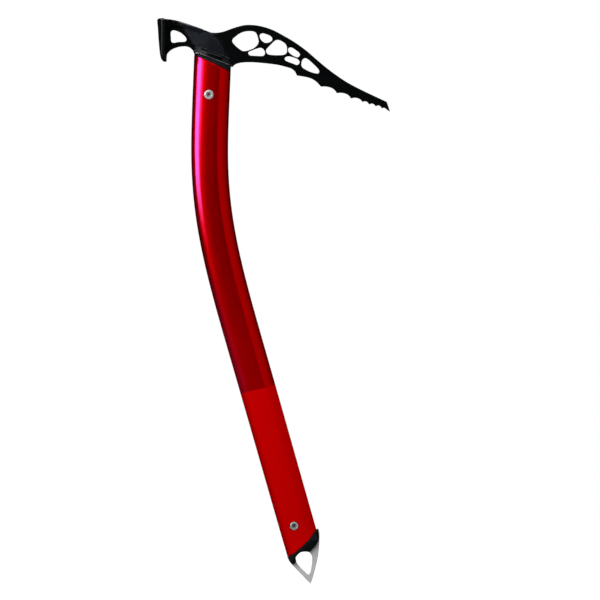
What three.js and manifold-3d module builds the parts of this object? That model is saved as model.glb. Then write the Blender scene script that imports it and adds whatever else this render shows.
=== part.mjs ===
// Ice axe with a bent tube shaft, for snow and mixed ground.
// Units are millimetres and +Z is up. The origin is the spike's point, +X runs
// towards the pick's point and the adze is on the -X side. The whole tool lies
// in the XZ plane and is mirrored about it, apart from its two screws and their
// sleeve nuts. Front is +X, back is -X and left is +Y.
import * as THREE from "three";
import { mergeVertices } from "three/addons/utils/BufferGeometryUtils.js";
import Module from "manifold-3d";

// ---------------------------------------------------------------- dimensions
const GAP = 0.3; // between neighbouring pieces
const REACH = 700; // of a cutting half space, past the whole tool

const PICK_T = 4.0; // thickness of the pick's plate
const ADZE_ARM_T = 6.0; // thickness of the arm that carries the adze
const TANG_T = 5.0; // thickness of the head's tang
const TANG_W = 18.0; // depth of both tangs, front to back
const TANG_BOTTOM_Z = 430.0; // where the head's tang ends inside the shaft
const TANG_TOP_Z = 486.0; // before the seam trims it
const TANG_OVERLAP = 1.5; // how far the head's tang rises past the seam
const SPIKE_T = 3.8; // thickness of the spike's plate
const SPIKE_TANG_BOTTOM_Z = 33.0;
const SPIKE_TANG_TOP_Z = 66.0; // where the spike's tang ends inside the shaft

const SHAFT_DEPTH = 33.0; // front to back, as SECTION is drawn
const SHAFT_HALF_WIDTH = 10.4; // side to side, half, as SECTION is drawn
const SHAFT_WALL = 1.6;
const LOW_DEPTH = 31.7; // the shaft's true depth at LOW_DEPTH_Z
const LOW_DEPTH_Z = 60;
const DEPTH_GROWTH = 0.0038; // added to the depth per millimetre of height

const ADZE_T = 3.2; // thickness of the adze blade
const ADZE_HALF_TOP = 20.0; // half width of the adze blade at its top
const ADZE_HALF_EDGE = 24.0; // half width at its cutting edge
const ADZE_SAG = 3.8; // how far the blade's sides wrap towards the shaft
const ADZE_SAG_LOSS = 0.35; // share of that wrap lost at the cutting edge
const ADZE_COLUMNS = 8; // facets across the blade
const FLANGE_T = 4.2;

const SCREW_HEAD_R = 4.4;
const SCREW_SHANK_R = 2.2;
const SHANK_END_Y = 6.9;
const SHANK_CHAMFER = 0.5;
const SLEEVE_R = 3.3; // barrel of the sleeve nut
const SLEEVE_BORE_R = 2.5;
const SLEEVE_END_Y = -7.2;
const SLEEVE_BORE_END_Y = 7.3;
const HEAD_HEIGHT = 2.1; // of a screw's or sleeve nut's head
const SCREW_PROUD = 0.45; // how far those heads stand out of the tube
const SCREW_RECESS = 1.5; // depth of the screw's drive recess
const NUT_RECESS = 1.2; // depth of the sleeve nut's
// [x, z] of each screw, and the height at which the tube's width is taken for it.
const UPPER_SCREW = [-59.24, 441.9];
const UPPER_SCREW_WIDTH_Z = 441;
const LOWER_SCREW = [-10.85, 52.79];
const LOWER_SCREW_WIDTH_Z = 53;
const UPPER_POCKET_Y = 7.9; // floors of the head pockets in the inserts
const LOWER_POCKET_Y = 7.6;

// -------------------------------------------------------------- shaft tables
// The shaft's centre line, [x, z], from below its cut end to above the collar.
const CENTRE = [
  [-1.5, 20], [-9.99, 60], [-18.45, 100], [-26.78, 140], [-35.18, 180],
  [-39.45, 200], [-43.71, 220], [-47.89, 240], [-51.89, 260], [-55.57, 280],
  [-58.77, 300], [-61.28, 320], [-62.88, 340], [-63.49, 360], [-63.09, 380],
  [-61.83, 400], [-59.92, 420], [-57.7, 440], [-55.45, 460], [-53.2, 480],
  [-50.95, 500],
];
// Half of the shaft's section, [from back to front, half width].
// The back is rounded and the front is planed by a facet on each side.
const SECTION = [
  [-16.5, 1.2], [-16.15, 3.0], [-15.2, 5.1], [-13.6, 7.1], [-11.2, 8.8],
  [-8.0, 9.85], [-4.2, 10.35], [0, 10.4], [3.8, 10.1], [7.4, 9.4],
  [15.5, 4.95], [16.2, 4.2], [16.5, 3.3],
];
// Heights of the shaft's stations.
const HEIGHTS = [
  20, 60, 110, 160, 195, 215, 235, 252, 268, 284, 300, 316, 332, 348, 364, 380,
  396, 412, 430, 455, 492,
];
// Lines, [x, z], of the cuts that end the shaft and of the seam under the head.
const SHAFT_TOP_CUT = [[-72.0, 479.5], [-36.0, 459.8]];
const COLLAR_SEAM = [[-72.0, 482.05], [-36.0, 465.95]];
const SHAFT_END_CUT = [
  [11.6, 45.3], [8.9, 48.0], [2.8, 41.2], [-3.85, 35.15], [-11.1, 29.8],
  [-18.9, 25.1], [-25.0, 21.9],
];

// ------------------------------------------------------------------ outlines
// All are [x, z] points that a smooth curve passes through.
const UNDERSIDE = [
  [-36.7, 466.4], [-34.2, 467.8], [-30.6, 468.8], [-26.6, 469.15], [-18.6, 468.7],
  [-10.5, 467.55], [-3, 466.2], [4.6, 464.55], [11.2, 462.4], [15.2, 460.85],
  [17.7, 459], [19.2, 456.9], [20.3, 454],
];
const TEETH = [
  [
    [20.3, 454], [24.6, 453.05], [29.2, 451.85], [33, 450.3], [36.2, 448.2],
    [38.8, 445.5], [41, 442.6],
  ],
  [
    [41, 442.6], [44.6, 442.45], [48.2, 441.6], [51.1, 440.3], [53.2, 438.4],
    [54.9, 435.7],
  ],
  [
    [54.9, 435.7], [58.2, 435.85], [61.7, 435], [64.3, 433.75], [66, 431.9],
    [67, 430.2],
  ],
  [
    [67, 430.2], [70.2, 430.5], [72.7, 430], [74.9, 428.95], [76.3, 427.5],
    [77.2, 426.2],
  ],
  [[77.2, 426.2], [79.3, 426.7], [81, 426.1], [82.2, 424.9], [83, 423.5]],
  [[83, 423.5], [85.1, 424.25], [86.7, 423.75], [87.9, 422.6], [88.7, 421.3]],
  [[88.7, 421.3], [90.6, 422.2], [92.1, 421.75], [93.3, 420.6], [94.2, 419.2]],
  [[94.2, 419.2], [95.7, 419.8], [97.4, 418.8], [99.2, 417.2], [101.2, 415.4]],
];
const PICK_TOP = [
  [98.9, 424.6], [90.3, 429.4], [82.5, 433.75], [73.6, 438.95], [64.8, 444.55],
  [55.6, 451.6], [47, 459.05], [38.6, 467.2], [30, 475.75], [20.2, 483.9],
  [11.6, 489.9], [2.4, 495.65], [-5.6, 499.2], [-13.9, 501.45], [-22.9, 502.2],
  [-32.5, 500.5], [-42.3, 497.8], [-48.6, 497.05], [-53.5, 497.5],
];
const ADZE_TOP = [
  [-53.5, 497.5], [-63.75, 502.2], [-76.5, 507.5], [-83.2, 510.1], [-89.8, 511.7],
  [-95.2, 512.35], [-100.6, 512.7],
];
const ADZE_OUTLINE = [
  [-100.6, 512.7], [-100.75, 504], [-100.8, 496.5], [-100.7, 489], [-100.4, 482.4],
  [-99.7, 478.6], [-98.6, 476.2], [-97.1, 475.3], [-95.9, 475.9], [-95.3, 478],
  [-94.9, 480.2], [-93.2, 482.6], [-89.9, 485.1], [-84.9, 486.85], [-79.8, 487.4],
  [-76.2, 487], [-73.2, 485.45], [-71.1, 483.3], [-70.1, 481.2],
];
const ADZE_WINDOW = [
  [-87.8, 502.34], [-89.45, 500.79], [-89.77, 495.93], [-89.83, 493.7], [-89.74, 492.61],
  [-89.39, 491.85], [-88.21, 490.96], [-86.47, 490.84], [-84.06, 491.2], [-80.04, 491.13],
  [-77.39, 491.23], [-75.94, 492.37], [-76.32, 494.62], [-78.4, 497.5], [-81.82, 500.32],
];
const CLIP_WINDOW = [
  [-22.77, 496.69], [-29.11, 494.68], [-31.35, 493.21], [-34.63, 490.57], [-35.13, 488.15],
  [-26.8, 479.41], [-22.86, 479.12], [-17.13, 480.69], [-13.22, 483.58], [-11.76, 486.29],
  [-11.83, 488.48], [-14.15, 495.29],
];
const PICK_WINDOWS = [
  [
    [-8.61, 493.76], [-9.77, 493.19], [-10.32, 492.31], [-10.06, 489.28], [-8.92, 487.38],
    [-5.96, 485.11], [-1.82, 485.42], [0.01, 486.62], [0.64, 487.96], [0.19, 489.84],
    [-1.16, 491.29], [-3.14, 492.31], [-7.08, 493.83],
  ],
  [
    [3.46, 486.79], [-1.11, 483.26], [-3.28, 481.34], [-5.05, 479.65], [-5.78, 477.87],
    [-5.07, 475.65], [-3.53, 474.42], [-0.29, 473.73], [5.04, 473.2], [9.94, 473.26],
    [11.9, 474.19], [12.87, 475.6], [13.09, 479.81], [12.4, 482.36], [10.31, 484.64],
    [6.26, 486.92],
  ],
  [
    [15.51, 479.5], [14.33, 478.65], [14.03, 476.99], [14.55, 475.32], [16.1, 473.43],
    [21.14, 470.23], [22.55, 470.23], [23.9, 471.3], [24.29, 472.7], [23.47, 474.46],
    [21.86, 476], [17.41, 479.34],
  ],
  [
    [-13.14, 480.75], [-16.57, 479.82], [-20.49, 478.67], [-21.61, 477.72], [-21.71, 476.57],
    [-20.15, 474.8], [-18.01, 474.42], [-14.47, 473.96], [-8.51, 473.62], [-7.19, 474.68],
    [-6.76, 476.12], [-6.84, 477.42], [-7.54, 479.04], [-9.04, 480.61], [-10.72, 481.06],
  ],
  [
    [13.12, 471.73], [11.12, 470.91], [10.41, 469.44], [11.17, 467.98], [13.45, 466.63],
    [17.1, 464.99], [21.14, 463.34], [22.66, 464.06], [23.6, 465.91], [22.82, 467.66],
    [21.05, 469.29], [19.27, 470.07], [16.77, 470.98], [14.66, 471.67],
  ],
  [
    [28.19, 468.95], [26.12, 467.45], [24.98, 462.97], [25.53, 461.1], [26.94, 459.7],
    [32.25, 456.44], [37.3, 454.64], [39.2, 454.4], [40.48, 455.95], [39.78, 458.44],
    [38.55, 460.02], [36.96, 461.9], [30.27, 468.46],
  ],
];
const CARABINER_EYE = [
  [-5.89, 29.03], [-8.05, 28.02], [-10.52, 25.77], [-11.59, 23.88], [-11.34, 21.53],
  [-10.79, 19.15], [-10.2, 18], [-8.88, 16.2], [-7.45, 14.22], [-3.85, 10.25],
  [-1.79, 8.27], [-0.75, 8.14], [0.97, 10.81], [1.73, 13.61], [2.7, 17.5],
  [3.21, 21.48], [2.99, 24.58], [1.6, 27.29], [-0.81, 28.76],
];
const SPIKE_BACK = [
  [-19.6, 26.3], [-18.6, 23.6], [-16.6, 19.75], [-13.5, 15.75], [-10.3, 12.05],
  [-6.6, 7.7], [-2.9, 3.3], [0, 0],
];
const SPIKE_FRONT = [
  [0, 0], [1.75, 3.2], [3.1, 6.9], [6, 15], [8.25, 22.5], [9.6, 28.9],
  [10.5, 35.5], [10.95, 40], [11.15, 43.6], [11.1, 45.8], [10.6, 48.2],
];
// The lower insert's edges below the tube, behind and in front of the eye.
const PLUG_BACK = [
  [-18.3, 24.6], [-17.3, 22.6], [-16.2, 20.2], [-14.9, 18.8], [-13.4, 18.5],
  [-11.9, 19.3],
];
const PLUG_FRONT = [
  [3.2, 29.5], [4.9, 31.2], [6.6, 33.0], [8.2, 35.0], [9.6, 37.1], [10.5, 39.6],
  [10.85, 42.6], [10.8, 45.4], [10.3, 47.6],
];

// ------------------------------------------------------------------- helpers
const wasm = await Module();
wasm.setup();

// A closed geometry as a solid that can be joined and cut.
function solid(geometry) {
  geometry.deleteAttribute("normal");
  geometry.deleteAttribute("uv");
  const merged = mergeVertices(geometry, 1e-4);
  const vertProperties = new Float32Array(merged.attributes.position.array);
  const triVerts = new Uint32Array(merged.index.array);
  const build = () =>
    new wasm.Manifold(new wasm.Mesh({ numProp: 3, vertProperties, triVerts }));
  const made = build();
  if (made.volume() > 0) return made;
  // inside out, so every triangle is turned over
  for (let i = 0; i < triVerts.length; i += 3)
    [triVerts[i + 1], triVerts[i + 2]] = [triVerts[i + 2], triVerts[i + 1]];
  return build();
}

function geometryOf(manifold) {
  const mesh = manifold.getMesh();
  const geometry = new THREE.BufferGeometry();
  geometry.setAttribute("position", new THREE.BufferAttribute(mesh.vertProperties, 3));
  geometry.setIndex(new THREE.BufferAttribute(mesh.triVerts, 1));
  geometry.computeVertexNormals();
  return geometry;
}

// Points along a smooth curve, thinned to those that its shape needs.
function smooth(points, closed = false, tolerance = 0.07) {
  const curve = new THREE.CatmullRomCurve3(
    points.map(([x, z]) => new THREE.Vector3(x, z, 0)),
    closed,
    "centripetal",
  );
  const fine = curve
    .getPoints(points.length * 8)
    .map((point) => new THREE.Vector2(point.x, point.y));
  const thin = (from, to) => {
    let farthest = 0;
    let split = -1;
    for (let i = from + 1; i < to; i++) {
      const chord = fine[to].clone().sub(fine[from]);
      const offset = fine[i].clone().sub(fine[from]);
      const share = THREE.MathUtils.clamp(offset.dot(chord) / (chord.lengthSq() + 1e-9), 0, 1);
      const distance = offset.sub(chord.multiplyScalar(share)).length();
      if (distance > farthest) [farthest, split] = [distance, i];
    }
    return farthest > tolerance ? [...thin(from, split), ...thin(split, to)] : [fine[from]];
  };
  // split in two first, as a closed curve's ends coincide
  const last = fine.length - 1;
  const middle = Math.floor(fine.length / 2);
  const kept = [...thin(0, middle), ...thin(middle, last)];
  if (!closed) kept.push(fine[last]);
  return kept;
}

const vectors = (points) => points.map(([x, z]) => new THREE.Vector2(x, z));

// A closed outline from one half of it: the half below the axis, then the half above.
const mirrored = (half) => [
  ...half.map(([x, y]) => new THREE.Vector2(x, -y)),
  ...vectors(half).reverse(),
];

// Joins curves end to end, dropping the doubled points where they meet.
function chain(...runs) {
  const joined = [];
  for (const point of runs.flat())
    if (!joined.length || joined.at(-1).distanceTo(point) > 0.02) joined.push(point);
  if (joined[0].distanceTo(joined.at(-1)) < 0.02) joined.pop();
  return joined;
}

// An outline in the XZ plane, extruded across Y.
function plate(outline, yFrom, yTo, holes = []) {
  const shape = new THREE.Shape(outline);
  for (const hole of holes) shape.holes.push(new THREE.Path(hole));
  const geometry = new THREE.ExtrudeGeometry(shape, {
    depth: yTo - yFrom,
    bevelEnabled: false,
    curveSegments: 1,
  });
  geometry.rotateX(Math.PI / 2);
  geometry.translate(0, yTo, 0);
  return solid(geometry);
}

const centredPlate = (outline, halfThickness, holes) =>
  plate(outline, -halfThickness, halfThickness, holes);

// A section extruded in steps and carried by place(x, y, step) to each station.
function loft(section, steps, place) {
  const geometry = new THREE.ExtrudeGeometry(new THREE.Shape(section), {
    depth: steps,
    steps,
    bevelEnabled: false,
    curveSegments: 1,
  });
  const position = geometry.attributes.position;
  for (let i = 0; i < position.count; i++) {
    const step = Math.round(position.getZ(i));
    position.setXYZ(i, ...place(position.getX(i), position.getY(i), step));
  }
  return solid(geometry);
}

// A turned piece on an axis along Y at [x, z]; the profile is [radius, y] from
// the axis round and back to it.
function turned(profile, [x, z]) {
  const geometry = new THREE.LatheGeometry(vectors(profile), 28);
  geometry.translate(x, 0, z);
  return solid(geometry);
}

const cylinder = (centre, yFrom, yTo, radius) =>
  turned([[0, yFrom], [radius, yFrom], [radius, yTo], [0, yTo]], centre);

// Places points relative to a line from start to end, both [x, z]: a distance
// along it and an offset to its left as seen from -Y, or to its right for side -1.
function lineFrame(start, end, side = 1) {
  const [origin, target] = vectors([start, end]);
  const along = target.sub(origin).normalize();
  const normal = new THREE.Vector2(-along.y * side, along.x * side);
  return (distance, offset, y) => [
    origin.x + along.x * distance + normal.x * offset,
    y,
    origin.y + along.y * distance + normal.y * offset,
  ];
}

// One side of a cut line, which is first shifted upwards along its normal:
// side +1 is above the line and -1 below it.
function halfSpace(line, side, shift = 0) {
  const [start, end] = vectors([line[0], line.at(-1)]);
  const along = end.sub(start).normalize();
  const normal = new THREE.Vector2(-along.y, along.x);
  if (normal.y < 0) normal.negate();
  const edge = vectors(line).map((point) => point.addScaledVector(normal, shift));
  const first = edge[0].clone().addScaledVector(along, -REACH);
  const last = edge.at(-1).clone().addScaledVector(along, REACH);
  const far = normal.clone().multiplyScalar(REACH * side);
  const outline = [first, ...edge, last, last.clone().add(far), first.clone().add(far)];
  if (THREE.ShapeUtils.area(outline) < 0) outline.reverse();
  return centredPlate(outline, 40);
}

// ------------------------------------------------------------ shaft's section
const centreCurve = new THREE.CatmullRomCurve3(
  CENTRE.map(([x, z]) => new THREE.Vector3(x, 0, z)),
  false,
  "centripetal",
);

const sectionScale = (z) => (LOW_DEPTH + (z - LOW_DEPTH_Z) * DEPTH_GROWTH) / SHAFT_DEPTH;

// Where the centre line passes a height, its direction there and the section's
// scale. Heights past the line's ends give its end points.
function station(z) {
  let [low, high] = [0, 1];
  for (let i = 0; i < 40; i++) {
    const middle = (low + high) / 2;
    if (centreCurve.getPoint(middle).z < z) low = middle;
    else high = middle;
  }
  const point = centreCurve.getPoint(low);
  const direction = centreCurve
    .getPoint(Math.min(1, low + 1e-3))
    .sub(centreCurve.getPoint(Math.max(0, low - 1e-3)))
    .normalize();
  return { point, direction, scale: sectionScale(z) };
}

// The [x, z] at a distance in front of the centre line, square to it.
const inFront = ({ point, direction }, distance) => [
  point.x + distance * direction.z,
  point.z - distance * direction.x,
];

// The bar that fills the shaft's section, inset from its outside, between heights.
function shaftBar(inset, heights) {
  const depthShare = (SHAFT_DEPTH / 2 - inset) / (SHAFT_DEPTH / 2);
  const widthShare = (SHAFT_HALF_WIDTH - inset) / SHAFT_HALF_WIDTH;
  const half = SECTION.map(([front, width]) => [front * depthShare, width * widthShare]);
  const stations = heights.map(station);
  return loft(mirrored(half), heights.length - 1, (front, side, step) => {
    const at = stations[step];
    const [x, z] = inFront(at, front * at.scale);
    return [x, side * at.scale, z];
  });
}

// A strip along the centre line, half a width to each side of it.
function strip(halfWidth, zFrom, zTo, halfThickness) {
  const stations = [zFrom, (zFrom + zTo) / 2, zTo].map(station);
  const edge = (distance) => vectors(stations.map((at) => inFront(at, distance)));
  return centredPlate([...edge(halfWidth), ...edge(-halfWidth).reverse()], halfThickness);
}

// --------------------------------------------------------------------- shaft
function makeShaft() {
  // the bore's end stations lie beyond the bar's
  const bore = shaftBar(SHAFT_WALL, [10, ...HEIGHTS.slice(1, -1), 502]);
  return shaftBar(0, HEIGHTS)
    .intersect(halfSpace(SHAFT_TOP_CUT, -1))
    .intersect(halfSpace(SHAFT_END_CUT, 1))
    .subtract(bore)
    .subtract(cylinder(UPPER_SCREW, -20, 20, SCREW_HEAD_R + GAP))
    .subtract(cylinder(LOWER_SCREW, -20, 20, SCREW_HEAD_R + GAP));
}

// --------------------------------------------------------------- head: plates
// The straight edge of the blank that meets the shaft, back to front.
const SEAM_BACK = ADZE_OUTLINE.at(-1);
const SEAM_FRONT = UNDERSIDE[0];

// The flat blank: pick, neck and adze arm in one outline.
const blank = chain(
  vectors([SEAM_BACK, SEAM_FRONT]),
  smooth(UNDERSIDE),
  ...TEETH.map((tooth) => smooth(tooth)),
  smooth(PICK_TOP),
  smooth(ADZE_TOP),
  smooth(ADZE_OUTLINE),
);
const adzeWindow = smooth(ADZE_WINDOW, true);

// Both plates stop inside the adze blade and under the flange above them.
const PLATE_LIMIT = [
  [-99.4, 400], [110, 400], [110, 520], [-73, 520], [-73, 505.2], [-88, 510.2],
  [-99.4, 511.4],
];
// The thicker adze arm ends at a slanted line behind the neck's middle.
const ARM_LIMIT = [[-101.5, 470], [-58, 470], [-64, 520], [-101.5, 520]];

const plateLimit = () => centredPlate(vectors(PLATE_LIMIT), 15);

function makePickPlate() {
  const frontWindows = [CLIP_WINDOW, ...PICK_WINDOWS].map((points) => smooth(points, true));
  return centredPlate(blank, PICK_T / 2, [adzeWindow, ...frontWindows])
    .intersect(plateLimit());
}

function makeArmPlate() {
  return centredPlate(blank, ADZE_ARM_T / 2, [adzeWindow])
    .intersect(centredPlate(vectors(ARM_LIMIT), 10))
    .intersect(plateLimit());
}

// The pick's front edge is ground to a chisel by a bevel on each side.
// Section of the metal taken off, [out from the edge, y].
const BEVEL_SECTION = [[0.6, 0.2], [0.6, 3], [-1.9, 3], [-1.9, PICK_T / 2 + 0.02]];
const BEVEL_ENDS = [-4, 13]; // along the front edge, from its top

function pointBevel(side) {
  const place = lineFrame(PICK_TOP[0], TEETH.at(-1).at(-1));
  return loft(vectors(BEVEL_SECTION), 1, (out, y, step) =>
    place(BEVEL_ENDS[step], out, y * side),
  );
}

// ----------------------------------------------------------------- head: neck
// At the seam the neck has the shaft's section, and it rises to a ridge between
// two planed cheeks. Heights are measured square to the seam.
// [height, back, front, half width, front corner's share of the half width]
const NECK = [
  [0.0, 0.0, 36.4, 10.3, 0.46],
  [1.6, 0.2, 36.6, 10.3, 0.46],
  [3.2, 0.0, 36.5, 9.9, 0.48],
  [5.2, -0.4, 36.0, 8.9, 0.52],
  [8.0, -1.0, 34.8, 8.2, 0.58],
  [11.0, -2.2, 32.4, 7.4, 0.66],
  [14.5, -4.2, 29.0, 6.5, 0.76],
  [18.0, -7.2, 24.4, 5.6, 0.86],
  [23.5, -13.5, 15.0, 4.2, 0.95],
];
// Half section, [-1 at the back to 1 at the front, share of the half width].
const NECK_SECTION = [
  [-1, 0.12], [-0.985, 0.28], [-0.93, 0.5], [-0.83, 0.7], [-0.68, 0.86],
  [-0.48, 0.96], [-0.2, 1], [0.15, 1], [0.5, 0.96], [0.72, 0.73], [0.94, 0.5],
  [1, 0.42],
];
const NECK_STEPS = 16;
const NECK_CORNER = NECK[0][4]; // the corner's share at the seam
const SQUARED_FROM = 0.2; // where along the section the squaring up starts

// A row of NECK between its stations, by a cubic through the neighbouring rows.
function neckRow(step) {
  const position = (step / NECK_STEPS) * (NECK.length - 1);
  const index = Math.min(NECK.length - 2, Math.floor(position));
  const part = position - index;
  const rows = [-1, 0, 1, 2].map(
    (offset) => NECK[THREE.MathUtils.clamp(index + offset, 0, NECK.length - 1)],
  );
  return NECK[0].map((_, column) => {
    const [before, start, end, after] = rows.map((row) => row[column]);
    const startSlope = (end - before) / 2;
    const endSlope = (after - start) / 2;
    const square = 3 * (end - start) - 2 * startSlope - endSlope;
    const cube = 2 * (start - end) + startSlope + endSlope;
    return start + startSlope * part + square * part * part + cube * part * part * part;
  });
}

function makeNeck() {
  const place = lineFrame(SEAM_BACK, SEAM_FRONT);
  const body = loft(mirrored(NECK_SECTION), NECK_STEPS, (forward, side, step) => {
    const [height, back, front, halfWidth, corner] = neckRow(step);
    // the front corner squares up as the neck rises out of the shaft's section
    const risen = Math.max(0, (corner - NECK_CORNER) / (1 - NECK_CORNER));
    const squared = (risen * Math.max(0, forward - SQUARED_FROM)) / (1 - SQUARED_FROM);
    const share = Math.sign(side) * THREE.MathUtils.lerp(Math.abs(side), 1, squared);
    return place(back + ((forward + 1) / 2) * (front - back), height, -share * halfWidth);
  });
  return body.intersect(centredPlate(blank, 12, [adzeWindow]));
}

// ----------------------------------------------------------------- head: adze
// The blade is a plate bowed in plan, wider and thinner towards its edge.
// From the cutting edge up: [height, outer face's x, thickness]
const ADZE = [
  [475.3, -97.6, 0.7],
  [478.6, -99.7, 2.5],
  [482.4, -100.4, ADZE_T],
  [489, -100.7, ADZE_T],
  [496.5, -100.8, ADZE_T],
  [504, -100.75, ADZE_T],
  [512.6, -100.6, ADZE_T],
];

function makeAdzeBlade() {
  // a bowed band to carry up the blade: outer face first, then inner; its bow
  // is only for triangulating its ends, and is replaced by the sag below
  const band = [];
  for (let i = 0; i <= ADZE_COLUMNS; i++) {
    const across = -1 + (2 * i) / ADZE_COLUMNS;
    band.unshift(new THREE.Vector2(2 * across * across - 1, 10 * across));
    band.push(new THREE.Vector2(2 * across * across, 10 * across));
  }
  const bottomZ = ADZE[0][0];
  const topZ = ADZE.at(-1)[0];
  return loft(band, ADZE.length - 1, (bandX, bandY, step) => {
    const across = bandY / 10;
    const inward = bandX - 2 * across * across + 1; // 0 outer face, 1 inner face
    const [z, x, thickness] = ADZE[step];
    const down = (topZ - z) / (topZ - bottomZ);
    const halfWidth = THREE.MathUtils.lerp(ADZE_HALF_TOP, ADZE_HALF_EDGE, down);
    const sag = ADZE_SAG * across * across * (1 - ADZE_SAG_LOSS * down * down);
    return [x + sag + inward * thickness, across * halfWidth, z];
  });
}

// The flange along the top of the adze arm flares out to the blade's width.
// [x, half width]
const FLANGE = [
  [-99.2, 5], [-98.2, 12], [-96.8, 17], [-95.9, 18.6], [-94.6, 17.2], [-92.6, 13.8],
  [-89.8, 10.4], [-86.4, 7.9], [-82.2, 6.0], [-77.2, 4.7], [-70.0, 3.6], [-62.0, 2.8],
];
// How far the flange's top lies below the arm's top line.
const flangeDrop = (x) => (x < -90 ? 0.35 : 0.08);

function makeFlange() {
  const topLine = smooth([...ADZE_TOP].reverse(), false, 0.02);
  const topAt = (x) => {
    const next = topLine.findIndex((point, i) => i > 0 && x <= point.x);
    const [start, end] = [topLine[next - 1], topLine[next]];
    return start.y + ((x - start.x) / (end.x - start.x)) * (end.y - start.y);
  };
  return loft(mirrored(FLANGE), 1, (x, y, step) => [
    x,
    y,
    topAt(x) - flangeDrop(x) - (1 - step) * FLANGE_T,
  ]);
}

// ---------------------------------------------------------------------- head
function makeHead() {
  // the tang runs down inside the shaft to below the upper screw
  const tang = strip(TANG_W / 2, TANG_BOTTOM_Z, TANG_TOP_Z, TANG_T / 2)
    .intersect(halfSpace(COLLAR_SEAM, -1, TANG_OVERLAP));
  return makePickPlate()
    .subtract(pointBevel(1))
    .subtract(pointBevel(-1))
    .add(makeArmPlate())
    .add(makeNeck())
    .add(makeAdzeBlade())
    .add(makeFlange())
    .add(tang)
    .subtract(cylinder(UPPER_SCREW, -10, 10, SLEEVE_R + GAP));
}

// ------------------------------------------------------------------- inserts
// Clears the sleeve nut's barrel and a pocket for a head on each side.
function clearScrew(pack, centre, pocketY) {
  return pack
    .subtract(cylinder(centre, -20, 20, SLEEVE_R + GAP))
    .subtract(cylinder(centre, -20, -pocketY, SCREW_HEAD_R + GAP))
    .subtract(cylinder(centre, pocketY, 20, SCREW_HEAD_R + GAP));
}

// The part of an insert on one side of the XZ plane.
function halfOf(pack, yFrom, yTo) {
  const outline = vectors([[-130, -10], [130, -10], [130, 530], [-130, 530]]);
  return pack.intersect(plate(outline, yFrom, yTo));
}
const leftOf = (pack) => halfOf(pack, GAP / 2, 30);
const rightOf = (pack) => halfOf(pack, -30, -GAP / 2);

// Two moulded halves pack the tang in the tube; their rim fills the band
// between the tube's end and the head.
function makeUpperPack() {
  const rim = shaftBar(0.05, [440, 455, 470, 492])
    .intersect(halfSpace(SHAFT_TOP_CUT, 1, GAP))
    .intersect(halfSpace(COLLAR_SEAM, -1, -GAP));
  const core = shaftBar(SHAFT_WALL + GAP, [424, 440, 455, 470, 492])
    .intersect(halfSpace(COLLAR_SEAM, -1, -GAP - 0.5));
  const tangRoom = strip(TANG_W / 2 + GAP, TANG_BOTTOM_Z - GAP, 500, TANG_T / 2 + GAP);
  return clearScrew(core.add(rim).subtract(tangRoom), UPPER_SCREW, UPPER_POCKET_Y);
}

// The taper that thins the lower insert towards the spike, below the tube.
// [distance up from the cut line, half width]
const TAPER = [
  [60, 12], [0.5, 12], [0.5, 10.0], [-1.5, 9.9], [-3.5, 9.4], [-5.5, 8.4],
  [-7.5, 6.9], [-9.5, 5.0], [-11.5, 3.2], [-14, 3.2],
];
const TAPER_ENDS = [-30, 60]; // along the cut line, from its front

function makeTaper() {
  const place = lineFrame(SHAFT_END_CUT[1], SHAFT_END_CUT[5], -1);
  return loft(mirrored(TAPER), 1, (up, y, step) => place(TAPER_ENDS[step], up, y));
}

// The lower insert's side outline follows the top of the carabiner eye.
function plugOutline(eye) {
  const eyeBack = eye
    .filter((point) => point.y > 21.5 && point.x < -3)
    .sort((one, other) => one.y - other.y || one.x - other.x);
  const eyeTop = eye
    .filter((point) => point.y > 27.6 && point.x >= -3)
    .sort((one, other) => one.x - other.x);
  return chain(
    vectors([[-19.6, 26.6]]),
    smooth(PLUG_BACK),
    eyeBack,
    eyeTop,
    smooth(PLUG_FRONT),
    vectors([[10.3, 58], [-6, 92], [-38, 82]]),
  );
}

// Two moulded halves clamp the spike's plate and close the tube's lower end.
function makeLowerPack(eye) {
  // the rim is larger than the tube, and the taper and outline trim it
  const rim = shaftBar(-1.2, [0, 20, 60, 70]).intersect(halfSpace(SHAFT_END_CUT, -1, -GAP));
  const body = shaftBar(SHAFT_WALL + GAP, [0, 20, 60, 72])
    .add(rim)
    .intersect(centredPlate(plugOutline(eye), 12))
    .intersect(makeTaper());
  const halfRoom = SPIKE_T / 2 + GAP;
  const bladeArea = vectors([[-26, -5], [26, -5], [26, 70], [-26, 70]]);
  const spikeRoom = centredPlate(bladeArea, halfRoom)
    .intersect(halfSpace(SHAFT_END_CUT, -1, 0.6))
    .add(strip(TANG_W / 2 + GAP, 20, SPIKE_TANG_TOP_Z + GAP, halfRoom));
  return clearScrew(body.subtract(spikeRoom), LOWER_SCREW, LOWER_POCKET_Y);
}

// --------------------------------------------------------------------- spike
function makeSpike(eye) {
  const outline = chain(smooth(SPIKE_BACK), smooth(SPIKE_FRONT), vectors([[-22, 36]]));
  const blade = centredPlate(outline, SPIKE_T / 2, [eye])
    .intersect(halfSpace(SHAFT_END_CUT, -1, -GAP));
  const tang = strip(TANG_W / 2, SPIKE_TANG_BOTTOM_Z, SPIKE_TANG_TOP_Z, SPIKE_T / 2)
    .subtract(centredPlate(eye, 10));
  return blade.add(tang).subtract(cylinder(LOWER_SCREW, -10, 10, SLEEVE_R + GAP));
}

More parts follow.
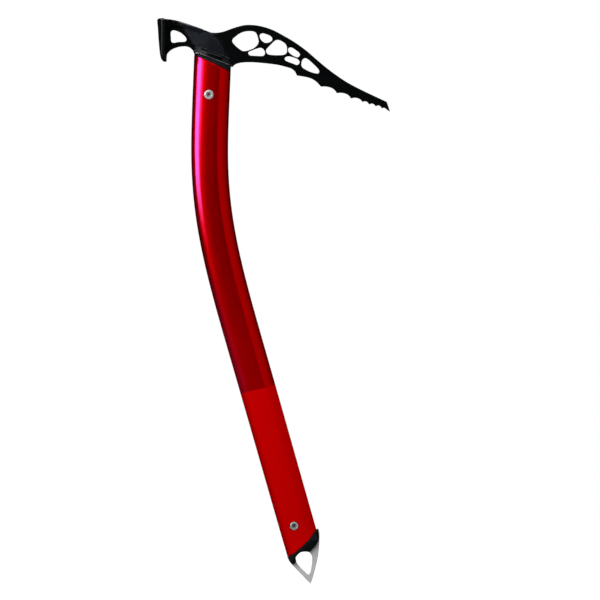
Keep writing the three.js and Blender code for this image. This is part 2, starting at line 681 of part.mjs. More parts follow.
// ------------------------------------------------------------------- screws
// A six-lobed drive recess, cut in a head that faces +Y (side 1) or -Y (side -1).
function lobedRecess([x, z], face, side, depth) {
  const outline = [];
  for (let i = 0; i < 36; i++) {
    const angle = (i / 36) * Math.PI * 2;
    const radius = 2.0 + 0.32 * Math.cos(6 * angle);
    outline.push(
      new THREE.Vector2(x + radius * Math.cos(angle), z + radius * Math.sin(angle)),
    );
  }
  const ends = [face + side, face - side * depth];
  return plate(outline, Math.min(...ends), Math.max(...ends));
}

// A head with a rounded rim, on a stem that stemEnd closes, as [radius, y] points.
function fastener({ centre, widthZ, side, stemRadius, stemEnd, recess }) {
  const face = side * (SHAFT_HALF_WIDTH * sectionScale(widthZ) + SCREW_PROUD);
  const body = turned(
    [
      [0, face],
      [SCREW_HEAD_R - 0.7, face],
      [SCREW_HEAD_R - 0.15, face - side * 0.35],
      [SCREW_HEAD_R, face - side * 0.8],
      [SCREW_HEAD_R, face - side * HEAD_HEIGHT],
      [stemRadius, face - side * HEAD_HEIGHT],
      ...stemEnd,
    ],
    centre,
  );
  return body.subtract(lobedRecess(centre, face, side, recess));
}

const screw = (centre, widthZ) =>
  fastener({
    centre,
    widthZ,
    side: -1,
    stemRadius: SCREW_SHANK_R,
    stemEnd: [
      [SCREW_SHANK_R, SHANK_END_Y - SHANK_CHAMFER],
      [SCREW_SHANK_R - SHANK_CHAMFER, SHANK_END_Y],
      [0, SHANK_END_Y],
    ],
    recess: SCREW_RECESS,
  });

const sleeveNut = (centre, widthZ) =>
  fastener({
    centre,
    widthZ,
    side: 1,
    stemRadius: SLEEVE_R,
    stemEnd: [
      [SLEEVE_R, SLEEVE_END_Y],
      [SLEEVE_BORE_R, SLEEVE_END_Y],
      [SLEEVE_BORE_R, SLEEVE_BORE_END_Y],
      [0, SLEEVE_BORE_END_Y],
    ],
    recess: NUT_RECESS,
  });

// ----------------------------------------------------------------- materials
const ANODISED = { color: 0xb00008, roughness: 0.3, metalness: 0.9 };
const BLACK_STEEL = { color: 0x0c0e0f, roughness: 0.55, metalness: 0.6 };
const MOULDED_BLACK = { color: 0x131417, roughness: 0.6, metalness: 0.0 };
const STAINLESS = { color: 0xaaa8ab, roughness: 0.32, metalness: 1.0 };
const ZINC = { color: 0xc8c8cc, roughness: 0.25, metalness: 1.0 };

// ------------------------------------------------------------------ assembly
const axe = new THREE.Group();
axe.name = "ice_axe";

function addPiece(name, body, finish) {
  const mesh = new THREE.Mesh(geometryOf(body), new THREE.MeshStandardMaterial(finish));
  mesh.name = name;
  axe.add(mesh);
}

const eye = smooth(CARABINER_EYE, true);
const upperPack = makeUpperPack();
const lowerPack = makeLowerPack(eye);

addPiece("head", makeHead(), BLACK_STEEL);
addPiece("head_insert_left", leftOf(upperPack), MOULDED_BLACK);
addPiece("head_insert_right", rightOf(upperPack), MOULDED_BLACK);
addPiece("head_screw", screw(UPPER_SCREW, UPPER_SCREW_WIDTH_Z), ZINC);
addPiece("head_sleeve_nut", sleeveNut(UPPER_SCREW, UPPER_SCREW_WIDTH_Z), ZINC);
addPiece("shaft", makeShaft(), ANODISED);
addPiece("spike", makeSpike(eye), STAINLESS);
addPiece("spike_insert_left", leftOf(lowerPack), MOULDED_BLACK);
addPiece("spike_insert_right", rightOf(lowerPack), MOULDED_BLACK);
addPiece("spike_screw", screw(LOWER_SCREW, LOWER_SCREW_WIDTH_Z), ZINC);
addPiece("spike_sleeve_nut", sleeveNut(LOWER_SCREW, LOWER_SCREW_WIDTH_Z), ZINC);

export default axe;
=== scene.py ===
"""Ice axe: a forged pick and adze head, a bent hollow shaft, moulded packings and an end spike.

The scene is in metres. Z runs up from the spike's tip at the origin to the head. The pick
points to +X and the adze to -X. Y is the thickness, and the main camera is on the -Y side.
The shaft's rounded back is its -X side and its faceted front the +X side.
"""
import math
import bpy
import bmesh
import numpy as np
from mathutils import Matrix, Vector


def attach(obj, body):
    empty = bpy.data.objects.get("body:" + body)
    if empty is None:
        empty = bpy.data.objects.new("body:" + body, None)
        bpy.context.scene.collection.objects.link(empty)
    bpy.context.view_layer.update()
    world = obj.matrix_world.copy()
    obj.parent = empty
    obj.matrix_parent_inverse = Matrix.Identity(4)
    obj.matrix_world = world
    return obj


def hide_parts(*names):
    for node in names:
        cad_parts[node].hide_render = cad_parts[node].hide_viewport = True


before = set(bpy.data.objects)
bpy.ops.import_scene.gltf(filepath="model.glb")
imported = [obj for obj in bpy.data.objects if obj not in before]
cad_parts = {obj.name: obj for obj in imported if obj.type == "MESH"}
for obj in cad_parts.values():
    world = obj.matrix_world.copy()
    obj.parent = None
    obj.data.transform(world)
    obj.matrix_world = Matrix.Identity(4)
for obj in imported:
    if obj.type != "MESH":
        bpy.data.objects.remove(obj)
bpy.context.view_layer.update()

# Geometry is worked out in millimetres, and meshes are scaled to metres.
MM = 0.001

# ------------------------------------------------------------------ dimensions
PICK_T, ARM_T, TANG_T, SPIKE_T = 4.0, 6.0, 5.0, 3.8  # plate thicknesses
DEPTH, HALF_W, WALL, GAP = 33.0, 10.4, 1.6, 0.3  # shaft section, wall and clearance
HALF_D = DEPTH / 2
UPPER_SCREW, LOWER_SCREW = (-59.24, 441.9), (-10.85, 52.79)  # x, z
SCREW_HEAD_R = {UPPER_SCREW: 4.2, LOWER_SCREW: 3.75}
SCREW_BORE_R, SCREW_SEAT_R = 3.6, 4.7
PROUD = 0.45  # screw heads stand this far out of the shaft's side
TANG_HALF_D, TANG_ROOM_HALF_D = 9.0, 9.3
UPPER_ROOM_HALF_T, LOWER_ROOM_HALF_T = 2.8, 2.2
PACK_SPLIT = 0.15  # half the gap between a left and a right packing

# Outlines and lines are seen from the side: every entry is x, z.
CENTRE = np.array([
    [-1.5, 20], [-9.99, 60], [-18.45, 100], [-26.78, 140], [-35.18, 180],
    [-39.45, 200], [-43.71, 220], [-47.89, 240], [-51.89, 260], [-55.57, 280],
    [-58.77, 300], [-61.28, 320], [-62.88, 340], [-63.49, 360], [-63.09, 380],
    [-61.83, 400], [-59.92, 420], [-57.7, 440], [-55.45, 460], [-53.2, 480],
    [-50.95, 500]])
TUBE_TOP = ((-72.0, 479.5), (-36.0, 459.8))
SEAM_LINE = ((-72.0, 481.25), (-36.0, 465.15))
END_CUT = [[-25.0, 21.9], [-18.9, 25.1], [-11.1, 29.8], [-3.85, 35.15],
           [2.8, 41.2], [8.9, 48.0], [12.0, 51.9]]
UNDERSIDE = [
    [-36.7, 465.6], [-35.6, 466.9], [-34.2, 467.8], [-30.6, 468.8], [-26.6, 469.15], [-18.6, 468.7],
    [-10.5, 467.55], [-3, 466.2], [4.6, 464.55], [11.2, 462.4], [15.2, 460.85],
    [17.7, 459], [19.2, 456.9], [20.3, 454]]
TEETH = [
    [[20.3, 454], [24.6, 453.05], [29.2, 451.85], [33, 450.3], [36.2, 448.2],
     [38.8, 445.5], [41, 442.6]],
    [[41, 442.6], [44.6, 442.45], [48.2, 441.6], [51.1, 440.3], [53.2, 438.4],
     [54.9, 435.7]],
    [[54.9, 435.7], [58.2, 435.85], [61.7, 435], [64.3, 433.75], [66, 431.9],
     [67, 430.2]],
    [[67, 430.2], [70.2, 430.5], [72.7, 430], [74.9, 428.95], [76.3, 427.5],
     [77.2, 426.2]],
    [[77.2, 426.2], [79.3, 426.7], [81, 426.1], [82.2, 424.9], [83, 423.5]],
    [[83, 423.5], [85.1, 424.25], [86.7, 423.75], [87.9, 422.6], [88.7, 421.3]],
    [[88.7, 421.3], [90.6, 422.2], [92.1, 421.75], [93.3, 420.6], [94.2, 419.2]],
    [[94.2, 419.2], [95.7, 419.8], [97.4, 418.8], [99.2, 417.2], [101.2, 415.4]]]
PICK_TOP = [
    [98.9, 424.6], [90.3, 429.4], [82.5, 433.75], [73.6, 438.95], [64.8, 444.55],
    [55.6, 451.6], [47, 459.05], [38.6, 467.2], [30, 475.75], [20.2, 483.9],
    [11.6, 489.9], [2.4, 495.65], [-5.6, 499.2], [-13.9, 501.45], [-22.9, 502.2],
    [-32.5, 500.5], [-42.3, 497.8], [-48.6, 497.05], [-53.5, 497.5]]
ADZE_TOP = [
    [-53.5, 497.5], [-63.75, 502.2], [-76.5, 507.5], [-83.2, 510.1], [-89.8, 511.7],
    [-95.2, 512.35], [-100.6, 512.7]]
ADZE_OUTLINE = [
    [-100.6, 512.7], [-100.75, 504], [-100.8, 496.5], [-100.7, 489], [-100.4, 482.4],
    [-99.7, 478.6], [-98.6, 476.2], [-97.1, 475.3], [-95.9, 475.9], [-95.3, 478],
    [-94.9, 480.2], [-93.2, 482.6], [-89.9, 485.1], [-84.9, 486.85], [-79.8, 487.4],
    [-76.2, 487], [-73.2, 485.45], [-71.1, 483.1], [-70.1, 480.4]]
ADZE_WINDOW = [
    [-87.8, 502.34], [-89.45, 500.79], [-89.77, 495.93], [-89.83, 493.7],
    [-89.74, 492.61], [-89.39, 491.85], [-88.21, 490.96], [-86.47, 490.84],
    [-84.06, 491.2], [-80.04, 491.13], [-77.39, 491.23], [-75.94, 492.37],
    [-76.32, 494.62], [-78.4, 497.5], [-81.82, 500.32]]
CLIP_WINDOW = [
    [-22.77, 496.69], [-29.11, 494.68], [-31.35, 493.21], [-34.63, 490.57],
    [-35.13, 488.15], [-26.8, 479.41], [-22.86, 479.12], [-17.13, 480.69],
    [-13.22, 483.58], [-11.76, 486.29], [-11.83, 488.48], [-14.15, 495.29]]
PICK_WINDOWS = [
    [[-8.61, 493.76], [-9.77, 493.19], [-10.32, 492.31], [-10.06, 489.28],
     [-8.92, 487.38], [-5.96, 485.11], [-1.82, 485.42], [0.01, 486.62], [0.64, 487.96],
     [0.19, 489.84], [-1.16, 491.29], [-3.14, 492.31], [-7.08, 493.83]],
    [[3.46, 486.79], [-1.11, 483.26], [-3.28, 481.34], [-5.05, 479.65], [-5.78, 477.87],
     [-5.07, 475.65], [-3.53, 474.42], [-0.29, 473.73], [5.04, 473.2], [9.94, 473.26],
     [11.9, 474.19], [12.87, 475.6], [13.09, 479.81], [12.4, 482.36], [10.31, 484.64],
     [6.26, 486.92]],
    [[15.51, 479.5], [14.33, 478.65], [14.03, 476.99], [14.55, 475.32], [16.1, 473.43],
     [21.14, 470.23], [22.55, 470.23], [23.9, 471.3], [24.29, 472.7], [23.47, 474.46],
     [21.86, 476], [17.41, 479.34]],
    [[-13.14, 480.75], [-16.57, 479.82], [-20.49, 478.67], [-21.61, 477.72],
     [-21.71, 476.57], [-20.15, 474.8], [-18.01, 474.42], [-14.47, 473.96],
     [-8.51, 473.62], [-7.19, 474.68], [-6.76, 476.12], [-6.84, 477.42],
     [-7.54, 479.04], [-9.04, 480.61], [-10.72, 481.06]],
    [[13.12, 471.73], [11.12, 470.91], [10.41, 469.44], [11.17, 467.98],
     [13.45, 466.63], [17.1, 464.99], [21.14, 463.34], [22.66, 464.06], [23.6, 465.91],
     [22.82, 467.66], [21.05, 469.29], [19.27, 470.07], [16.77, 470.98],
     [14.66, 471.67]],
    [[28.19, 468.95], [26.12, 467.45], [24.98, 462.97], [25.53, 461.1], [26.94, 459.7],
     [32.25, 456.44], [37.3, 454.64], [39.2, 454.4], [40.48, 455.95], [39.78, 458.44],
     [38.55, 460.02], [36.96, 461.9], [30.27, 468.46]]]
EYE = [
    [-5.89, 29.03], [-8.05, 28.02], [-10.52, 25.77], [-11.59, 23.88], [-11.34, 21.53],
    [-10.79, 19.15], [-10.2, 18], [-8.88, 16.2], [-7.45, 14.22], [-3.85, 10.25],
    [-1.79, 8.27], [-0.75, 8.14], [0.97, 10.81], [1.73, 13.61], [2.7, 17.5],
    [3.21, 21.48], [2.99, 24.58], [1.6, 27.29], [-0.81, 28.76]]
SPIKE_EDGES = [
    [[-19.6, 26.3], [-18.6, 23.6], [-16.6, 19.75], [-13.5, 15.75], [-10.3, 12.05],
     [-6.6, 7.7], [-2.9, 3.3], [0, 0]],
    [[0, 0], [1.75, 3.2], [3.1, 6.9], [6, 15], [8.25, 22.5], [9.6, 28.9],
     [10.5, 35.5], [10.95, 40], [11.15, 43.6], [11.1, 45.8], [10.6, 48.2]]]


# ------------------------------------------------------------- curves and tables
def smooth(points, closed=False, steps=14):
    """Points along a smooth curve through these (centripetal Catmull-Rom)."""
    points = np.asarray(points, float)
    count = len(points)
    out = []
    for i in range(count if closed else count - 1):
        start, end = points[i], points[(i + 1) % count]
        if closed:
            before, after = points[i - 1], points[(i + 2) % count]
        else:
            before = points[i - 1] if i > 0 else 2 * points[0] - points[1]
            after = points[i + 2] if i + 2 < count else 2 * points[-1] - points[-2]
        knot0, knot1, knot2 = [max(np.hypot(*(b - a)), 1e-8) ** 0.5
                               for a, b in ((before, start), (start, end), (end, after))]
        leave = ((start - before) / knot0 - (end - before) / (knot0 + knot1)
                 + (end - start) / knot1) * knot1
        arrive = ((end - start) / knot1 - (after - start) / (knot1 + knot2)
                  + (after - end) / knot2) * knot1
        t = np.linspace(0, 1, steps, endpoint=False)[:, None]
        out.append(start + leave * t + (-3 * start + 3 * end - 2 * leave - arrive) * t ** 2
                   + (2 * start - 2 * end + leave + arrive) * t ** 3)
    out = np.vstack(out)
    return out if closed else np.vstack([out, points[-1:]])


def chain(*runs):
    """One closed loop from several runs of points, without repeated ones."""
    out = []
    for point in np.vstack(runs):
        if not out or np.hypot(*(point - out[-1])) > 0.01:
            out.append(point)
    if np.hypot(*(out[0] - out[-1])) < 0.01:
        out.pop()
    return np.array(out)


def lookup(value, table):
    """The table's second column, interpolated at a value of its first."""
    return np.interp(value, table[:, 0], table[:, 1])


def table_slope(value, table, step):
    return (lookup(value + step, table) - lookup(value - step, table)) / (2 * step)


def smoothstep(start, end, x):
    t = np.clip((x - start) / (end - start), 0, 1)
    return t * t * (3 - 2 * t)


# -------------------------------------------------------------- distance fields
class OutlineDistance:
    """Signed distance to closed loops in a plane, sampled on a raster.

    It is limited to reach. A whole-number reach makes the samples whole millimetres.
    """

    def __init__(self, loops, low, high, step, reach=6.0):
        self.low, self.step = np.array(low, float), step
        xs, zs = [a + np.arange(int(np.ceil((b - a) / step)) + 2) * step
                  for a, b in zip(low, high)]
        starts = np.vstack(loops)
        ends = np.vstack([np.roll(loop, -1, axis=0) for loop in loops])
        middles = (starts + ends) / 2
        distance = np.full((len(xs), len(zs)), reach)
        tile = 32
        for i in range(0, len(xs), tile):
            for k in range(0, len(zs), tile):
                tile_x, tile_z = xs[i:i + tile], zs[k:k + tile]
                near = ((middles[:, 0] > tile_x[0] - reach - 3)
                        & (middles[:, 0] < tile_x[-1] + reach + 3)
                        & (middles[:, 1] > tile_z[0] - reach - 3)
                        & (middles[:, 1] < tile_z[-1] + reach + 3))
                if not near.any():
                    continue
                start, run = starts[near], (ends - starts)[near]
                x, z = np.meshgrid(tile_x, tile_z, indexing="ij")
                from_x = x.ravel()[:, None] - start[:, 0]
                from_z = z.ravel()[:, None] - start[:, 1]
                t = np.clip((from_x * run[:, 0] + from_z * run[:, 1]) / (run ** 2).sum(1), 0, 1)
                squared = (from_x - t * run[:, 0]) ** 2 + (from_z - t * run[:, 1]) ** 2
                distance[i:i + tile, k:k + tile] = np.minimum(
                    reach, np.sqrt(squared.min(1))).reshape(x.shape)
        inside = np.zeros(distance.shape, bool)
        for k, z in enumerate(zs):
            spans = (starts[:, 1] <= z) != (ends[:, 1] <= z)
            if not spans.any():
                continue
            a, b = starts[spans], ends[spans]
            crossings = np.sort(
                a[:, 0] + (z - a[:, 1]) / (b[:, 1] - a[:, 1]) * (b[:, 0] - a[:, 0]))
            inside[:, k] = (np.searchsorted(crossings, xs) % 2).astype(bool)
        self.values = np.where(inside, -distance, distance)

    def __call__(self, x, z):
        grid = self.values
        column = np.clip((x - self.low[0]) / self.step, 0, grid.shape[0] - 1.001)
        row = np.clip((z - self.low[1]) / self.step, 0, grid.shape[1] - 1.001)
        i, k = column.astype(int), row.astype(int)
        u, v = column - i, row - k
        return ((grid[i, k] * (1 - u) + grid[i + 1, k] * u) * (1 - v)
                + (grid[i, k + 1] * (1 - u) + grid[i + 1, k + 1] * u) * v)


def round_both(a, b, radius):
    """Intersection of two distances with their shared edge rounded."""
    a, b = a + radius, b + radius
    return (np.minimum(np.maximum(a, b), 0)
            + np.hypot(np.maximum(a, 0), np.maximum(b, 0)) - radius)


def union(a, b, width):
    """Union of two distances with a fillet about this wide."""
    h = np.clip(0.5 + 0.5 * (b - a) / width, 0, 1)
    return b + (a - b) * h - width * h * (1 - h)


def soft_both(a, b, width):
    """Intersection of two distances, blended over about this width."""
    return -union(-a, -b, width)


def gradient(field, points, step=0.05):
    out = np.empty_like(points)
    for c in range(3):
        ahead, behind = points.copy(), points.copy()
        ahead[:, c] += step
        behind[:, c] -= step
        out[:, c] = (field(*ahead.T) - field(*behind.T)) / (2 * step)
    return out


# ---------------------------------------------------------------------- meshing
def make(name, vertices, faces):
    mesh = bpy.data.meshes.new(name)
    mesh.from_pydata((vertices * MM).tolist(), [], [list(map(int, face)) for face in faces])
    mesh.update()
    obj = bpy.data.objects.new(name, mesh)
    bpy.context.scene.collection.objects.link(obj)
    return obj


def make_surface(name, field, low, high, step):
    """An object of quads on field = 0, each vertex moved on to the surface itself."""
    low, high = np.array(low, float), np.array(high, float)
    count = np.ceil((high - low) / step).astype(int) + 1
    axes = [low[c] + np.arange(count[c]) * step for c in range(3)]

    # sample the field finely only in blocks that may hold the surface
    block = 5
    blocks = -(-count // block)
    centres = np.stack(np.meshgrid(
        *[low[c] + (np.arange(blocks[c]) * block + (block - 1) / 2) * step for c in range(3)],
        indexing="ij"), -1).reshape(-1, 3)
    coarse = field(*centres.T).reshape(blocks)

    def to_grid(values):
        fine = values.repeat(block, 0).repeat(block, 1).repeat(block, 2)
        return fine[:count[0], :count[1], :count[2]]

    values = to_grid(np.where(coarse < 0, -9.0, 9.0)).astype(np.float32)
    near = to_grid(np.abs(coarse) < (block * step * 0.5 * 1.733) * 1.25 + 0.35)
    indices = np.argwhere(near)
    fine = np.empty(len(indices), np.float32)
    batch = 400000
    for s in range(0, len(indices), batch):
        i = indices[s:s + batch]
        fine[s:s + batch] = field(*[axes[c][i[:, c]] for c in range(3)])
    values[near] = fine

    # one quad for each grid edge the surface crosses, one vertex for each cell
    inside = values < 0
    strides = np.array([count[1] * count[2], count[2], 1])
    flat = values.ravel()
    all_cells, all_places, quads = [], [], []
    for c in range(3):
        edges = np.argwhere(np.diff(inside, axis=c))
        a, b = (c + 1) % 3, (c + 2) % 3
        edges = edges[(edges[:, a] > 0) & (edges[:, b] > 0)
                      & (edges[:, a] < count[a] - 1) & (edges[:, b] < count[b] - 1)]
        first = edges @ strides
        value0, value1 = flat[first].astype(float), flat[first + strides[c]].astype(float)
        places = low + edges * step
        places[:, c] += value0 / (value0 - value1) * step
        quad = [first - i * strides[a] - j * strides[b]
                for i, j in ((1, 1), (0, 1), (0, 0), (1, 0))]
        all_cells += quad
        all_places += [places] * 4
        quad = np.stack(quad, 1)
        quad[value0 > 0] = quad[value0 > 0][:, ::-1]
        quads.append(quad)
    places = np.concatenate(all_places)
    ids, inverse = np.unique(np.concatenate(all_cells), return_inverse=True)
    shares = np.bincount(inverse)
    vertices = np.stack([np.bincount(inverse, places[:, c]) / shares for c in range(3)], 1)
    faces = np.searchsorted(ids, np.concatenate(quads))
    for _ in range(2):
        slope = gradient(field, vertices)
        distance = field(*vertices.T)
        move = -slope * (distance / np.maximum((slope ** 2).sum(1), 0.2))[:, None]
        size = np.linalg.norm(move, axis=1, keepdims=True)
        vertices += move * np.minimum(1, 0.6 * step / np.maximum(size, 1e-9))
    return make(name, vertices, faces)


def polish(obj, field):
    """Merges the quads of flat areas, then takes normals from the field."""
    mesh = obj.data
    bm = bmesh.new()
    bm.from_mesh(mesh)
    bmesh.ops.dissolve_limit(bm, angle_limit=math.radians(0.25), verts=bm.verts,
                             edges=bm.edges, use_dissolve_boundaries=False)
    bmesh.ops.triangulate(bm, faces=[face for face in bm.faces if len(face.verts) > 4])
    bm.to_mesh(mesh)
    bm.free()
    mesh.shade_smooth()
    places = np.empty(len(mesh.vertices) * 3)
    mesh.vertices.foreach_get("co", places)
    normals = gradient(field, places.reshape(-1, 3) / MM, 0.12)
    normals /= np.maximum(np.linalg.norm(normals, axis=1, keepdims=True), 1e-9)
    mesh.normals_split_custom_set_from_vertices(normals.tolist())
    return obj


def shade_by_angle(obj, degrees):
    obj.data.shade_smooth()
    obj.data.set_sharp_from_angle(angle=math.radians(degrees))
    return obj


# ------------------------------------------------------------ the shaft's line
def fit_centre():
    """A least-squares cubic spline x(z), smooth in curvature."""
    knots = [150, 210, 260, 300, 340, 380, 430]

    def scaled(z):
        return (np.asarray(z, float) - 260) / 240

    def basis(z):
        u = scaled(z)
        columns = [np.ones_like(u), u, u ** 2, u ** 3]
        columns += [np.maximum(u - scaled(knot), 0) ** 3 for knot in knots]
        return np.stack(columns, -1)

    weights = np.linalg.lstsq(basis(CENTRE[:, 1]), CENTRE[:, 0], rcond=None)[0]
    return lambda z: basis(z) @ weights


centre_x = fit_centre()
END_CURVE = smooth(END_CUT, steps=20)


def shaft_scale(z):
    """Size of the section at height z; the shaft widens slightly upward."""
    return (31.7 + (z - 60) * 0.0038) / DEPTH


def station(z):
    """Centre x, tangent x and z, and size at the centre line's height z."""
    dx = centre_x(z + 0.5) - centre_x(z - 0.5)
    length = np.hypot(dx, 1.0)
    return centre_x(z), dx / length, 1.0 / length, shaft_scale(z)


def across_shaft(x, z):
    """Distance forward of the centre line, about."""
    middle, _, tangent_z, _ = station(z)
    return (x - middle) * tangent_z


def shaft_coords(x, z):
    """Depth across the shaft, height along it and its size there, about."""
    t = z
    for _ in range(3):
        middle, tangent_x, tangent_z, _ = station(t)
        t = t + ((x - middle) * tangent_x + (z - t) * tangent_z) * tangent_z
    middle, tangent_x, tangent_z, size = station(t)
    return ((x - middle) * tangent_z - (z - t) * tangent_x) / size, t, size


def section_loop(inset=0.0, spacing=0.55):
    """Depth and width round the shaft's section: rounded back, faceted front."""
    widest = 2  # depth where the rounded back ends
    back_d = widest + HALF_D
    back = -HALF_D + back_d * (1 - np.cos(np.linspace(0, 1, 60) * np.pi / 2))
    back_w = HALF_W * np.maximum(0, 1 - ((widest - back) / back_d) ** 3.3) ** (1 / 2.2)
    flank = np.linspace(widest, 7.4, 12)[1:]
    flank_w = HALF_W - 0.55 * ((flank - widest) / 5.4) ** 3
    # the facet is a little bowed between its two corners
    bow = np.linspace(9.0, 15.0, 9)
    bow_w = 9.07 - 0.61 * (bow - 9) + 0.22 * (1 - ((bow - 12) / 3.0) ** 2)
    half = np.vstack([
        np.stack([back, back_w], 1), np.stack([flank, flank_w], 1),
        [[7.8, 9.66], [8.2, 9.52], [8.6, 9.31]], np.stack([bow, bow_w], 1),
        [[15.6, 4.86], [16.05, 4.42], [16.33, 3.85], [16.45, 3.2], [HALF_D, 2.4],
         [HALF_D, 0.0]]])
    # even spacing, but with the corners' own points kept
    length = np.r_[0, np.cumsum(np.hypot(*np.diff(half, axis=0).T))]
    corner = np.searchsorted(half[:, 0], 7.2)
    t = np.linspace(0, length[-1], int(length[-1] / spacing) + 1)
    t = np.unique(np.r_[t, length[corner - 1: corner + 3], length[-9:]])
    t = t[np.r_[True, np.diff(t) > 0.12]]
    half = np.stack([np.interp(t, length, half[:, 0]), np.interp(t, length, half[:, 1])], 1)
    half[0, 1] = 0
    half[-1] = (HALF_D, 0)
    half = half * [(HALF_D - inset) / HALF_D, (HALF_W - inset) / HALF_W]
    return np.vstack([half * [1, -1], half[1:-1][::-1]])


# half the section, as depth and half width, in order of depth
SECTION = section_loop(0, 0.4)
SECTION = SECTION[SECTION[:, 1] <= 0] * [1, -1]
SECTION = SECTION[np.lexsort((SECTION[:, 1], SECTION[:, 0]))]


def section_side(depth, half, step, steepest):
    """Distance of a half width outside the section's side, and that side's width there."""
    slope = table_slope(depth, SECTION, step)
    return np.sqrt(1 + np.minimum(slope * slope, steepest)), lookup(depth, SECTION)


def end_z(x):
    """Height of the shaft's lower cut at x, a smooth curve."""
    return lookup(x, END_CURVE)


def line_z(line, x):
    (x0, z0), (x1, z1) = line
    return z0 + (z1 - z0) / (x1 - x0) * (x - x0)


def above_line(line, x, z):
    """Distance above a sloping straight line."""
    x0, x1 = line[0][0], line[1][0]
    slope = (line_z(line, x1) - line_z(line, x0)) / (x1 - x0)
    return (z - line_z(line, x)) / math.hypot(1, slope)


# -------------------------------------------------------------------- the shaft
def crossing(depth, cut_z, shift, low, high):
    """Where the line at this section depth crosses a cut shifted up by shift."""
    low, high = np.full(len(depth), float(low)), np.full(len(depth), float(high))
    for _ in range(40):
        middle = (low + high) / 2
        x, tangent_x, tangent_z, size = station(middle)
        above = ((middle - depth * size * tangent_x)
                 > cut_z(x + depth * size * tangent_z) + shift)
        high = np.where(above, middle, high)
        low = np.where(above, low, middle)
    return (low + high) / 2


def shaft_ends(loop, shift):
    """Heights at which a loop meets the two cuts, both drawn in by shift."""
    return (crossing(loop[:, 0], end_z, shift, 5, 80),
            crossing(loop[:, 0], lambda x: line_z(TUBE_TOP, x), -shift, 440, 495))


def shaft_row(loop, t):
    x, tangent_x, tangent_z, size = station(t)
    return np.stack([x + loop[:, 0] * size * tangent_z, loop[:, 1] * size,
                     t - loop[:, 0] * size * tangent_x], 1)


def lip_row(end, degrees):
    """A row on a rounded lip; 0 degrees is on the cut's face and 90 on the skin."""
    radius, angle = 0.32, math.radians(degrees)
    loop = section_loop(radius * (1 - math.sin(angle)))
    return shaft_row(loop, shaft_ends(loop, radius * (1 - math.cos(angle)))[end])


def drill(obj, screw):
    x, z = screw
    bpy.ops.mesh.primitive_cylinder_add(
        vertices=64, radius=(SCREW_HEAD_R[screw] + GAP) * MM, depth=0.05,
        location=(x * MM, 0, z * MM), rotation=(math.pi / 2, 0, 0))
    tool = bpy.context.object
    hole = obj.modifiers.new("hole", "BOOLEAN")
    hole.operation, hole.object, hole.solver = "DIFFERENCE", tool, "EXACT"
    bpy.context.view_layer.update()
    drilled = bpy.data.meshes.new_from_object(obj.evaluated_get(
        bpy.context.evaluated_depsgraph_get()))
    obj.modifiers.clear()
    obj.data = drilled
    bpy.data.objects.remove(tool)


def build_shaft():
    outer, inner = section_loop(), section_loop(WALL)
    turns = [0, 30, 60, 90]
    outer_steps, inner_steps = (230), 60
    rows = [lip_row(0, degrees) for degrees in turns]
    bottom, top = shaft_ends(outer, 0.32)
    rows += [shaft_row(outer, bottom + (top - bottom) * i / outer_steps)
             for i in range(1, outer_steps)]
    rows += [lip_row(1, degrees) for degrees in turns[::-1]]
    bottom, top = shaft_ends(inner, 0)
    rows += [shaft_row(inner, bottom + (top - bottom) * i / inner_steps)
             for i in range(inner_steps, -1, -1)]
    around = len(outer)
    j = np.arange(around)
    after = (j + 1) % around
    faces = []
    for i in range(len(rows)):
        this, above = i * around, (i + 1) % len(rows) * around
        faces.append(np.stack([this + j, this + after, above + after, above + j], 1))
    obj = make("shaft_tube", np.vstack(rows), np.vstack(faces))
    for screw in (UPPER_SCREW, LOWER_SCREW):
        drill(obj, screw)
    return shade_by_angle(obj, 35)


# -------------------------------------------------------------------- the head
SEAM_START = np.array([-70.1, 480.4])
SEAM_DIR = np.array([33.4, -14.8]) / np.hypot(33.4, 14.8)
SEAM_UP = np.array([-SEAM_DIR[1], SEAM_DIR[0]])
RASTER = 0.2
BACK_BOX = (-106, 455), (-25, 518)
WINDOW_BOX = (-42, 448), (48, 500)
BLANK = chain([[-70.1, 480.4], [-36.7, 465.6]], smooth(UNDERSIDE),
              *[smooth(tooth) for tooth in TEETH], smooth(PICK_TOP), smooth(ADZE_TOP),
              smooth(ADZE_OUTLINE))
WINDOWS = [smooth(window, True) for window in [CLIP_WINDOW] + PICK_WINDOWS]
blank_edge = OutlineDistance([BLANK], (-106, 410), (106, 518), RASTER)
adze_window = OutlineDistance([smooth(ADZE_WINDOW, True)], (-94, 486), (-72, 507), RASTER)
windows = OutlineDistance(WINDOWS, *WINDOW_BOX, RASTER)
# the narrow webs between neighbouring windows are kept at least this wide
WEB = 1.0
nearest = np.sort(np.stack([OutlineDistance([window], *WINDOW_BOX, RASTER).values
                            for window in WINDOWS]), axis=0)
windows.values = np.maximum(nearest[0], WEB / 2 - (nearest[1] - nearest[0]) / 2)

# The arc where the planed cheek runs out into the pick, seen from the side: x, z
ARC = smooth([[-70.5, 509.0], [-62.0, 503.4], [-56.2, 500.0], [-51.9, 496.8],
              [-46.7, 491.2], [-44.0, 486.2], [-42.5, 481.3], [-41.2, 476.5],
              [-38.6, 470.0], [-36.0, 462.0]], steps=10)
arc_loop = np.vstack([ARC, [[-36, 440], [-120, 440], [-120, 540], [-75, 540]]])
cheek_arc = OutlineDistance([arc_loop[::-1]], *BACK_BOX, RASTER, reach=40)
# where the swollen body starts, behind the planed cheek: x, z
BACK = smooth([[-69.4, 476.0], [-69.6, 481.0], [-70.1, 484.6], [-71.9, 489.0],
               [-75.2, 494.8], [-79.2, 501.2], [-82.2, 507.3], [-84.0, 514.0]], steps=10)
body_back = OutlineDistance(
    [np.vstack([BACK, [[-84, 540], [-20, 540], [-20, 440], [-69.4, 440]]])],
    *BACK_BOX, RASTER, reach=40)

